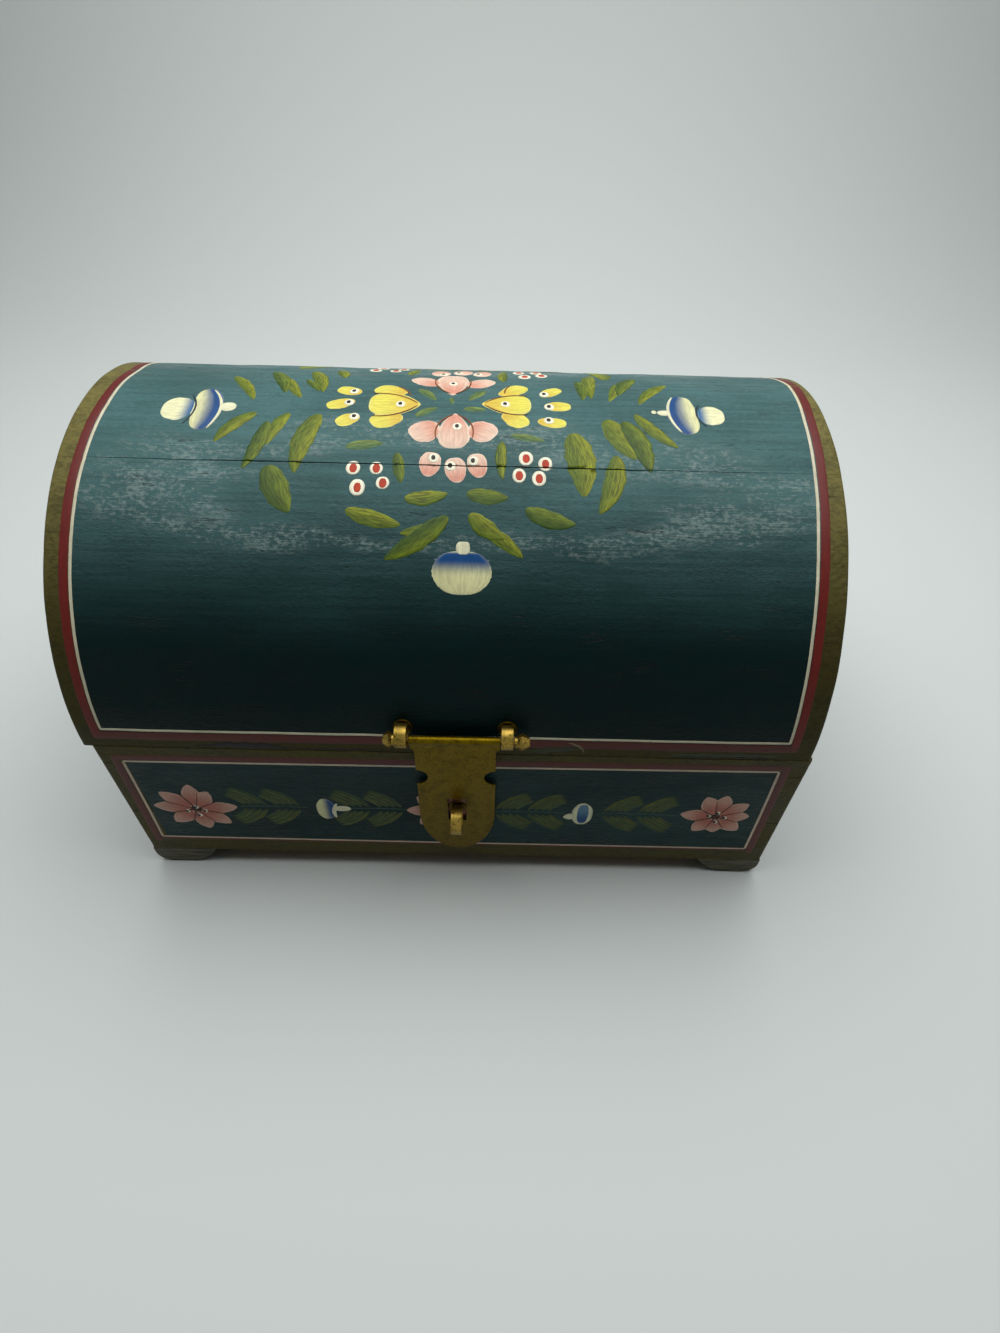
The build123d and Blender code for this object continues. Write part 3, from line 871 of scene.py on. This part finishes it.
# Lines on the lid
# The same red band and cream line run over the lid near both ends and along both rims,
# and follow the arch and the foot of each end.
lid_line_low = -104.0
lid_line_turn = 12.0
low_band = 3.6
band_out = (line_width + band_width) / 2 - band_overlap
lid_lines = []
for low_x, crown_x, away, bow in ((-93.9, -92.6, -1, -0.7), (92.7, 95.7, 1, -1.6)):
    shift = away * band_out
    for sign in (-1, 1):
        low, turn = (low_x, lid_line_low if sign > 0 else -lid_line_low), (crown_x, lid_line_turn)
        out_low, out_turn = (low_x + shift, low[1] - sign * low_band), (crown_x + shift, lid_line_turn)
        lid_lines.append(ruled(out_low, out_turn, band_width, band_red, 0, -sign * bow))
        lid_lines.append(ruled(low, turn, line_width, line_cream, 1, -sign * bow))
for low, sign in ((lid_line_low, -1), (-lid_line_low, 1)):
    out = sign * ((line_width + low_band) / 2 - band_overlap)
    lid_lines.append(ruled((-97.0, low + out), (95.9, low + out), low_band, band_dark, 0))
    lid_lines.append(ruled((-94.2, low), (93.0, low), line_width, line_cream, 1))
paint_strokes("lid_border_lines", lid_lines, on_dome, "lid", petal_paint)


def on_arch(end, out):
    """Places on one end of the lid, by how far they lie round its arc and how far from its axis."""

    def place(arc, distance, lift):
        turn = arc / dome_radius
        y = dome_axis_y - out * distance * np.cos(turn)
        return points_of(end + out * lift, y, dome_axis_z + distance * np.sin(turn))

    return place


arch_margin = 7.4
arch_radius = dome_radius - arch_margin
arch_start = radians(7)
arch_reach = arch_radius * np.cos(arch_start)
arch_low = dome_axis_z + arch_radius * np.sin(arch_start)
arch_from, arch_to = dome_radius * arch_start, dome_radius * (pi - arch_start)
band_from, band_to, band_radius = arch_from - band_width, arch_to + band_width, arch_radius + band_out
for name, end, out in (("left", lid_left, -1), ("right", lid_right, 1)):
    arch = [
        ruled((arch_from, arch_radius), (arch_to, arch_radius), line_width, line_cream, 1),
        ruled((band_from, band_radius), (band_to, band_radius), band_width, band_red, 0),
    ]
    paint_strokes(f"lid_{name}_end_arch", arch, on_arch(end, out), "lid", petal_paint)
    middle, wide, under = out * dome_axis_y, arch_reach + band_out, arch_low - band_out
    low_lines = [
        ruled((middle - wide, under), (middle + wide, under), band_width, band_red, 0),
        ruled((middle - arch_reach, arch_low), (middle + arch_reach, arch_low), line_width, line_cream, 1),
    ]
    paint_strokes(f"lid_{name}_end_lines", low_lines, on_flat("X", end, out), "lid", petal_paint)

# Chips on the rims, with painted shade in the gaps
# Paint and splinters are lost along the joint of lid and base. Where the rim is broken,
# the shade in the gap is painted as near-black strokes; olive flakes and one pale crack
# lie to the right of the hasp.
# Painted shade: near-black for the shade inside the broken rim.
gap_shade = brushful((5, 4, 3), (6, 5, 4), (14, 12, 8))
old_flake = brushful((44, 48, 18), (38, 40, 18), (50, 46, 30))
pale_wood = brushful((118, 104, 76), (96, 84, 60), (80, 72, 52))
rim_chips_and_gap_shade = [
    stroke((-70.0, -109.6), (-42.0, -109.7), 1.1, gap_shade, layer=1, ragged=0.3, rows=60),
    stroke((-65.0, -108.9), (-46.0, -109.1), 2.2, gap_shade, layer=1, ragged=0.25, rows=40),
    stroke((-42.0, -110.0), (-18.0, -110.0), 0.6, gap_shade, layer=1, ragged=0.4, rows=80),
    stroke((22.0, -109.2), (36.0, -107.2), 2.4, old_flake, layer=1, ragged=0.2, rows=40),
    stroke((60.0, -109.2), (92.0, -109.0), 1.8, old_flake, layer=1, ragged=0.3, rows=60),
    stroke((63.0, -109.9), (88.0, -109.9), 0.6, gap_shade, layer=2, ragged=0.4, rows=60),
    stroke((32.6, -105.4), (37.2, -109.4), 0.8, pale_wood, bend=1.0, layer=2, ragged=0.2),
]
paint_strokes("lid_rim_chips_and_gap_shade", rim_chips_and_gap_shade, on_dome, "lid", petal_paint)

# Leaves on the lid
# Olive leaves of one or two strokes spread from the crown. Each row gives where a leaf
# starts, where it ends, how wide it is and how far it bows.
green_yellow = brushful((82, 98, 20), (118, 124, 24), (60, 82, 26), across=True)
green_dark = brushful((56, 78, 18), (98, 112, 24), (42, 68, 24), across=True)
green_pale = brushful((70, 98, 56), (104, 120, 56), (54, 90, 72), across=True)
crown_leaves = (
    (-64.0, 8.5, -54.8, -6.8, 4.2, 0.8),
    (-54.0, 14.0, -47.2, -2.5, 4.6, 1.0),
    (-48.2, 7.5, -42.2, -5.0, 4.0, -0.6),
    (-42.6, 15.0, -37.0, -1.5, 4.6, 0.8),
    (-43.0, 7.0, -38.0, -1.0, 2.8, 0.0),
    (-35.5, 17.0, -32.5, 8.5, 3.8, 0.5),
    (59.5, 9.5, 49.8, -4.8, 4.2, -1.0),
    (51.2, 15.0, 44.8, 0.2, 4.8, -1.2),
    (44.6, 9.0, 41.8, -3.2, 3.4, 0.6),
    (38.6, 18.0, 37.2, -1.8, 4.8, -1.0),
    (33.6, 10.5, 34.6, -2.8, 3.8, 0.6),
)
front_leaves = (
    (-52.6, -12.2, -62.0, -23.8, 4.3, -1.0),
    (-44.0, -11.8, -48.2, -24.5, 4.4, -0.7),
    (-49.2, -15.5, -53.6, -32.0, 4.4, 0.9),
    (-36.2, -11.8, -42.2, -25.0, 6.0, 0.8),
    (-35.8, -15.5, -40.2, -33.0, 5.6, -1.3),
    (-47.0, -30.2, -40.2, -44.0, 8.4, -0.7),
    (48.2, -9.0, 58.8, -22.2, 4.2, -0.9),
    (40.4, -11.4, 47.6, -26.4, 7.6, -0.6),
    (44.6, -12.2, 51.0, -30.4, 6.4, 0.9),
    (30.8, -17.2, 33.6, -38.2, 9.4, 1.0),
    (42.2, -24.8, 37.4, -42.5, 6.0, 1.6),
)
low_leaves = (
    (-14.4, -25.6, -12.8, -35.2, 3.7, 0.0),
    (-11.8, -39.2, -0.6, -37.6, 4.5, -0.5),
    (-26.6, -42.6, -12.0, -46.4, 5.2, -0.4),
    (-0.4, -43.6, -16.4, -55.2, 5.8, 0.8),
    (-2.6, -46.2, -12.6, -48.4, 3.6, 0.4),
    (12.8, -21.0, 13.0, -33.4, 3.2, -0.4),
    (3.8, -37.2, 14.8, -38.4, 5.2, -0.5),
    (4.8, -42.8, 14.2, -49.4, 5.2, -0.8),
    (7.8, -46.4, 18.6, -54.2, 4.4, 0.5),
    (18.8, -41.2, 31.8, -45.2, 5.2, -0.9),
)
faint_leaves = (
    (-28.0, -24.2, -17.8, -22.8, 3.8, 0.2),
    (14.8, -18.8, 24.0, -20.8, 3.0, 0.0),
    (-11.0, 1.5, -5.6, -4.6, 3.4, 0.4),
    (8.0, 1.8, 3.4, -4.4, 3.4, -0.4),
    (-10.6, -12.4, -4.8, -8.0, 3.2, 0.3),
    (2.0, -8.6, 8.4, -8.8, 2.8, 0.2),
    (-1.6, -2.8, -1.0, -6.4, 1.8, 0.0),
)
mirror_height = -6.0


def behind(s):
    """The place on the back of the lid that mirrors s about the middle of the ornament."""
    return 2 * mirror_height - s


def behind_crown(row):
    """The same leaf on the back of the lid."""
    x, s, end_x, end_s, width, bend = row
    return (x, behind(s), end_x, behind(end_s), width, -bend)


def leaf(row, paint, layer=0):
    """A leaf, as one stroke with a round start and a pointed end."""
    x, s, end_x, end_s, width, bend = row
    shape = dict(bend=bend, blunt=0.62, sharp=0.8, layer=layer, ragged=0.05)
    return stroke((x, s), (end_x, end_s), width, paint, **shape)


def split_at_seam(strokes):
    """Strokes that cross the open seam are cracked in two along it."""
    seam_s = np.radians(open_seam - 90) * dome_radius
    whole = []
    for spec in strokes:
        reach = spec["width"] / 2 + abs(spec["bend"])
        low = min(spec["start"][1], spec["end"][1]) - reach
        high = max(spec["start"][1], spec["end"][1]) + reach
        if low < seam_s < high:
            whole.append({**spec, "cut": (seam_s + open_half_gap, True)})
            whole.append({**spec, "cut": (seam_s - open_half_gap, False)})
        else:
            whole.append(spec)
    return whole


lid_leaves = []
for number, row in enumerate(crown_leaves + front_leaves + low_leaves):
    lid_leaves.append(leaf(row, (green_yellow, green_dark)[number % 3 == 1], number % 2))
for row in faint_leaves:
    lid_leaves.append(leaf(row, green_pale))
for number, row in enumerate(front_leaves[5:6] + front_leaves[10:] + low_leaves):
    lid_leaves.append(leaf(behind_crown(row), green_yellow, number % 2))
paint_strokes("lid_leaves", split_at_seam(lid_leaves), on_dome, "lid", leaf_paint)

# Flowers on the lid
# Four three-lobed flowers point at the middle of the crown, two pink and two yellow, with
# loose petals behind them. Each has a white ring with a dark dot.
pink = brushful((206, 142, 120), (218, 184, 162), (224, 202, 180), rim_turn=(0.7, 0.98))
yellow = brushful((206, 176, 66), (214, 204, 84), (218, 212, 120), rim_turn=(0.78, 0.98))
outline_brown = brushful((118, 66, 28), (126, 76, 32), (92, 62, 34))
white = brushful((232, 228, 204), (232, 228, 204), (216, 212, 184))
ink = brushful((44, 38, 32), (40, 34, 30), (52, 44, 38))


def petal(start, end, width, paint, layer, sharp=0.5, bend=0.0):
    """A petal from its inner tip to its round outer end. Sharp above 0.5 makes the tip pointed."""
    turned = {**paint, "root": paint["tip"], "tip": paint["root"]}
    return stroke(end, start, width, turned, bend=bend, blunt=0.45, sharp=sharp, layer=layer)


def disc(x, s, across, along, paint, layer):
    """A round dab."""
    return stroke((x, s - along / 2), (x, s + along / 2), across, paint, layer=layer, rows=10)


def ringed_dot(x, s, layer=3):
    """A white ring with a dark dot in it."""
    return [disc(x, s, 2.9, 3.0, white, layer), disc(x - 0.1, s + 0.1, 1.5, 1.6, ink, layer + 1)]


def outline(start, end, bend, layer=3):
    """A thin brown line between two petals."""
    shape = dict(bend=bend, blunt=0.25, sharp=0.35, layer=layer, rows=16)
    return stroke(start, end, 0.5, outline_brown, **shape)


lid_flowers = [
    petal((-3.6, -16.6), (-11.3, -20.2), 9.4, pink, 0, 0.5, 0.4),
    petal((3.6, -16.4), (10.8, -19.8), 9.2, pink, 0, 0.5, -0.4),
    petal((0.0, -10.4), (0.0, -24.2), 9.2, pink, 1, 0.85),
    outline((-0.4, -11.2), (-4.6, -21.0), -1.9),
    outline((0.6, -11.2), (4.8, -20.6), 1.9),
    *ringed_dot(0.8, -16.2),
    petal((-5.0, 5.0), (-12.6, 10.6), 7.4, pink, 0, 0.5, -0.6),
    petal((2.4, 5.0), (9.6, 10.2), 7.4, pink, 0, 0.5, 0.6),
    petal((-1.2, -1.8), (-1.8, 14.0), 9.6, pink, 1, 0.8),
    outline((-1.8, -0.8), (-6.4, 10.6), 1.9),
    outline((-0.4, -0.8), (3.0, 10.4), -1.9),
    *ringed_dot(-1.4, 6.0),
    petal((-13.4, -0.4), (-22.6, 2.0), 8.0, yellow, 0, 0.62, -0.7),
    petal((-13.6, -13.0), (-22.2, -15.8), 7.6, yellow, 0, 0.6, 0.7),
    petal((-9.4, -6.8), (-23.8, -6.8), 11.8, yellow, 1, 0.8),
    outline((-10.4, -6.4), (-22.8, -1.8), -1.6),
    outline((-10.4, -7.4), (-22.2, -12.4), 1.6),
    outline((-12.6, -2.6), (-16.6, 2.8), -0.6, 2),
    *ringed_dot(-15.0, -7.0),
    petal((11.2, -0.4), (18.2, 5.8), 7.2, yellow, 0, 0.7, 1.0),
    petal((12.2, -11.0), (18.6, -15.8), 7.0, yellow, 0, 0.6, -1.0),
    petal((6.8, -5.9), (20.6, -5.6), 10.8, yellow, 1, 0.85),
    outline((7.8, -5.4), (19.4, -1.2), 1.7),
    outline((7.8, -6.4), (19.6, -10.2), -1.7),
    outline((13.2, 0.2), (14.8, 5.6), 0.6, 2),
    *ringed_dot(13.4, -5.8),
]
loose_yellow = (
    ((-26.2, -1.6), (-33.2, 1.0), 5.6, (-28.4, -0.6)),
    ((-27.4, -5.6), (-35.0, -8.6), 5.4, (-29.0, -6.6)),
    ((-25.4, -12.4), (-31.4, -16.0), 5.4, (-26.8, -12.9)),
    ((23.0, -1.2), (28.6, 4.0), 5.2, (24.1, 0.1)),
    ((23.8, -6.3), (31.4, -6.0), 5.2, (25.3, -6.5)),
    ((21.9, -13.0), (29.9, -13.9), 5.0, (25.1, -12.6)),
)
loose_pink = (
    ((-5.2, -25.2), (-6.2, -33.0), 6.6, (-4.8, -27.2)),
    ((0.2, -26.8), (1.7, -34.6), 6.6, (-0.4, -29.5)),
    ((5.8, -25.4), (7.2, -33.0), 6.2, (5.4, -27.9)),
)
for start, end, width, dot in loose_yellow:
    lid_flowers += [petal(start, end, width, yellow, 0, 0.55), *ringed_dot(*dot, 2)]
for start, end, width, dot in loose_pink:
    lid_flowers += [petal(end, start, width, pink, 0, 0.6), *ringed_dot(*dot, 2)]
    flip = [(x, behind(s)) for x, s in (start, end, dot)]
    lid_flowers += [petal(flip[1], flip[0], width, pink, 0, 0.6), *ringed_dot(*flip[2], 2)]
paint_strokes("lid_flowers", split_at_seam(lid_flowers), on_dome, "lid", petal_paint)

# Berries on the lid
# Groups of four white berries with a red heart stand between the pink petals and the
# leaves, at the front and again behind the crown.
berry_red = brushful((178, 52, 10), (168, 46, 10), (184, 80, 38))
front_berries = (
    (-25.2, -30.8, 3.9, 4.3),
    (-19.3, -30.7, 3.6, 3.9),
    (-23.7, -36.5, 4.2, 4.8),
    (-17.4, -35.0, 3.7, 3.7),
    (18.9, -26.7, 4.0, 4.6),
    (23.9, -28.3, 3.9, 4.4),
    (17.2, -32.0, 3.7, 4.4),
    (22.3, -32.7, 3.9, 4.6),
)
lid_berries = []
for x, s, across, along in front_berries:
    for centre_s in (s, behind(s)):
        lid_berries.append(disc(x, centre_s, across, along, white, 1))
        lid_berries.append(disc(x + 0.05, centre_s - 0.1, 2.4, 3.0, berry_red, 2))
paint_strokes("lid_berries", split_at_seam(lid_berries), on_dome, "lid", petal_paint)

# Buds on the lid
# Blue and white buds end the sprays: one towards each end of the lid and one at the
# front, each with a small cap.
deep_blue = (8, 64, 118)
bud_cream = (214, 212, 160)
bud_rim = (206, 206, 166)
cream_blue = brushful(bud_cream, deep_blue, bud_rim, turn=(0.2, 0.75), rim_turn=(0.9, 0.99))
blue_cream = brushful(deep_blue, bud_cream, bud_rim, turn=(0.2, 0.75), rim_turn=(0.9, 0.99))
blue_across = {**blue_cream, "across": True, "turn": (0.3, 0.85)}
cream_across = {**cream_blue, "across": True, "turn": (0.15, 0.7)}
cream_pale = brushful((222, 220, 176), (40, 92, 140), (190, 202, 184), turn=(0.5, 0.95))
cream_pale["rim_turn"] = (0.93, 0.99)
bud_body = brushful(bud_cream, deep_blue, bud_rim, turn=(0.4, 0.78), rim_turn=(0.9, 0.97))
bud_shadow = brushful((24, 46, 60), (24, 46, 60), (40, 66, 76))
cream = brushful((218, 216, 182), (214, 212, 176), (190, 192, 160))
cup = dict(blunt=0.4, sharp=0.4, layer=1)
cup_line = dict(blunt=0.3, sharp=0.3, layer=2)
front_bud = (-63.8, -52.4, -53.6, -50.2)
lid_buds = [
    stroke((-78.6, -11.1), (-69.8, -11.2), 12.0, cream_pale),
    stroke((-67.6, -19.6), (-68.6, -1.4), 8.6, blue_across, bend=-1.8, **cup),
    stroke((-71.4, -17.6), (-72.0, -4.6), 0.6, bud_shadow, bend=-2.2, **cup_line),
    stroke((-64.8, -19.0), (-66.6, -2.0), 0.9, cream, bend=-2.9, **cup_line),
    stroke((-63.2, -10.1), (-58.7, -10.0), 4.2, cream, layer=1),
    stroke((72.8, -8.7), (65.4, -8.6), 10.4, cream_pale),
    stroke((63.2, -17.0), (62.2, 0.8), 8.8, cream_across, bend=1.6, **cup),
    stroke((67.2, -13.8), (66.4, -3.6), 0.6, bud_shadow, bend=1.6, **cup_line),
    stroke((60.2, -16.4), (59.6, 0.2), 0.9, cream, bend=2.3, **cup_line),
    stroke((58.2, -8.1), (54.4, -8.2), 2.6, cream, layer=1),
    disc(53.6, -8.0, 1.5, 1.6, cream, 1),
]
for low, high, cap_low, cap_high in (front_bud, [behind(s) for s in front_bud]):
    lid_buds.append(stroke((3.3, low), (3.3, high), 17.8, bud_body, sharp=0.46, ragged=0.0, rows=30))
    lid_buds.append(stroke((3.5, cap_low), (3.5, cap_high), 3.8, cream, blunt=0.25, sharp=0.25, layer=1))
paint_strokes("lid_buds", lid_buds, on_dome, "lid", petal_paint)

# Ornament on the front of the base
# A pink daisy near each end, blue and white buds beside the hasp, and a garland of faint
# leaves along the middle. A pink flower sits behind the hasp.
dusty_pink = brushful((172, 96, 80), (194, 150, 132), (200, 168, 150), rim_turn=(0.76, 0.98))
petal_shadow = brushful((74, 38, 26), (96, 56, 40), (84, 50, 40))
faint_leaf = brushful((40, 62, 34), (76, 80, 22), (24, 56, 40), across=True)
blue_haze = {**blue_cream, "tip": colour(84, 124, 150), "rim": colour(44, 88, 140)}
left_x = (-77.3, -87.0, -90.6, -86.4, -76.6, -69.0, -65.1, -72.4)
left_z = (44.3, 40.2, 33.0, 24.2, 20.8, 24.0, 33.2, 40.8)
right_x = (81.6, 75.8, 69.4, 74.8, 81.4, 88.8, 90.6, 88.9)
right_z = (44.2, 43.4, 34.2, 25.0, 24.4, 25.8, 33.6, 40.2)
middle_x = (-13.9, -10.2, -2.2, 5.6, 9.2, 5.4, -2.2, -10.0)
middle_z = (33.2, 40.6, 43.6, 40.6, 33.0, 25.4, 22.4, 25.6)
petal_width = 6.2
petal_from = 0.12
shadow_reach = 0.78


def daisy(tips_x, tips_z, centre, dots):
    """Eight pointed petals from a centre to their tips, with brown lines between them."""
    tips = list(zip(tips_x, tips_z))
    strokes = []
    centre = np.array(centre, float)
    for number, tip in enumerate(tips):
        start = centre + (np.array(tip) - centre) * petal_from
        shape = dict(blunt=0.7, sharp=0.8, layer=number % 2 + 1)
        strokes.append(stroke(start, tip, petal_width, dusty_pink, **shape))
    for number, tip in enumerate(tips):
        after = tips[(number + 1) % len(tips)]
        middle = centre + (np.add(tip, after) / 2 - centre) * shadow_reach
        strokes.append(stroke(centre, middle, 0.55, petal_shadow, blunt=0.2, sharp=0.5, layer=3, rows=10))
    for x, z in dots:
        strokes += [disc(x, z, 1.7, 1.7, white, 3), disc(x - 0.25, z, 1.3, 1.3, ink, 4)]
    return strokes


base_flowers = [
    *daisy(left_x, left_z, (-78.0, 31.6), ((-77.8, 32.7), (-80.8, 30.6), (-75.4, 30.8), (-77.7, 28.4))),
    *daisy(right_x, right_z, (80.3, 33.0), ((78.2, 33.6), (83.2, 32.8), (80.8, 35.0), (80.9, 30.4))),
    *daisy(middle_x, middle_z, (-2.2, 33.0), ((-2.2, 35.0), (-4.4, 31.8), (0.0, 31.8))),
]
paint_strokes("base_flowers", base_flowers, on_front, "base", petal_paint)
base_buds = [
    stroke((-41.2, 32.9), (-35.2, 32.9), 11.6, {**cream_blue, "turn": (0.3, 0.7)}, layer=1),
    stroke((-35.6, 28.4), (-34.6, 36.0), 1.5, cream, bend=0.9, layer=2),
    stroke((-36.2, 33.3), (-30.6, 33.4), 3.0, cream, layer=1),
    stroke((42.9, 33.0), (36.4, 33.0), 12.4, cream, layer=1),
    stroke((39.8, 28.0), (39.8, 38.2), 4.6, blue_haze, layer=2),
    stroke((37.2, 31.8), (33.9, 31.2), 3.4, cream, sharp=0.8, layer=1),
]
paint_strokes("base_buds", base_buds, on_front, "base", petal_paint)

garland_middle = 33.5
garland_places = (-60.5, -50.5, -29.5, -19.5, 17.5, 27.5, 50.5, 61.0)
leaf_reach = (10.0, 9.0)
fingers = 7
garland = []
for number, x in enumerate(garland_places):
    lean = -1 if x < 0 else 1
    for up in (1, -1):
        for finger in range(fingers):
            share, odd = finger / (fingers - 1), finger % 2
            root_x = x - lean * (4.5 - 6.5 * share)
            tip_x = root_x + lean * leaf_reach[0] * (1 - 0.45 * share)
            root = (root_x, garland_middle + up * (0.9 + 0.7 * odd))
            tip = (tip_x, garland_middle + up * leaf_reach[1] * (1.1 - 0.5 * share))
            shape = dict(bend=lean * up * 1.1, blunt=0.7, sharp=0.9, layer=odd, ragged=0.06)
            garland.append(stroke(root, tip, 2.1, faint_leaf, **shape))
stem = {**faint_leaf, "root": colour(34, 66, 58), "tip": colour(40, 70, 56)}
for left, right in ((-64.0, -44.0), (-32.0, -13.0), (10.0, 34.0), (44.0, 68.0)):
    garland.append(ruled((left, garland_middle), (right, garland_middle), 0.7, stem, 0, 0.4))
paint_strokes("base_garland", garland, on_front, "base", leaf_paint)

# Hasp and eyes
# A cut and curled brass plate hangs on a rod that two strap eyes carry, and a third eye
# comes through its slot. The brass is cast thin, filed at the edges and long tarnished.
brass_bright = colour(166, 138, 68)
brass_dull = colour(96, 78, 4)
brass_dark = colour(50, 38, 6)


def old_brass(name, dull_share):
    """Tarnished brass: dull yellow-brown with darker mottling and small pits."""
    material, tree, shader = new_material(name)
    mottle = cloudy(tree, (3.2, 3.2, 3.2), 5, roughness=0.62)
    spots = cloudy(tree, (0.8, 0.8, 0.8), 4, (5, 9, 2), 0.6)
    scratches = cloudy(tree, (0.4, 5.0, 5.0), 2, (2, 4, 8))
    metal = blend(tree, dull_share, brass_bright, brass_dull)
    metal = blend(tree, times(tree, fade(tree, mottle, 0.42, 0.72), 0.5), metal, brass_dark)
    metal = blend(tree, times(tree, fade(tree, spots, 0.54, 0.64), 0.75), metal, brass_dark)
    roughness = plus(tree, times(tree, mottle, 0.3), 0.24)
    relief = bump(tree, weighted(tree, (spots, 0.04), (mottle, 0.06), (scratches, 0.02)))
    fill(tree, shader, {"Base Color": metal, "Roughness": roughness, "Normal": relief})
    fill(tree, shader, {"Metallic": 0.97})
    return material


# The plate takes the dull brass and the eyes, knobs and rod a lighter mix: the lighter brass is a painted
# light for the light their round faces catch.
plate_brass = old_brass("plate_brass", 1.0)
eye_brass = old_brass("eye_brass", 0.35)
brass_pieces = (
    ("hasp_plate", 0.12, "hasp", plate_brass),
    ("latch_eye", 0.14, "base", eye_brass),
    ("latch_washer", 0.08, "base", plate_brass),
    ("rod_eye_left", 0.14, "lid", eye_brass),
    ("rod_eye_right", 0.14, "lid", eye_brass),
    ("rod_eye_washer_left", 0.08, "lid", plate_brass),
    ("rod_eye_washer_right", 0.08, "lid", plate_brass),
    ("rod_knob_left", 0.12, "lid", eye_brass),
    ("rod_knob_right", 0.12, "lid", eye_brass),
    ("hasp_rod", 0.1, "lid", eye_brass),
)
for node, width, body, material in brass_pieces:
    piece = eased_copy(node, width, material, body)

# Hinges
# Two small brass butt hinges at the back, let into the rims and nailed. Only their
# knuckles show while the box is shut.
hinge_brass = old_brass("hinge_brass", 0.7)
for side in ("left", "right"):
    for kind, body in (("base_hinge_leaf", "base"), ("lid_hinge_leaf", "lid"), ("hinge_pin", "base")):
        piece = eased_copy(f"{kind}_{side}", 0.08, hinge_brass, body)
for body in ("base", "lid"):
    nails = eased_copy(f"{body}_hinge_nails", 0.06, hinge_brass, body)

# View settings and the size of the finished model The view is plain.
bpy.context.scene.view_settings.view_transform = "Standard"
low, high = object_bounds()
list(low)
list(high)
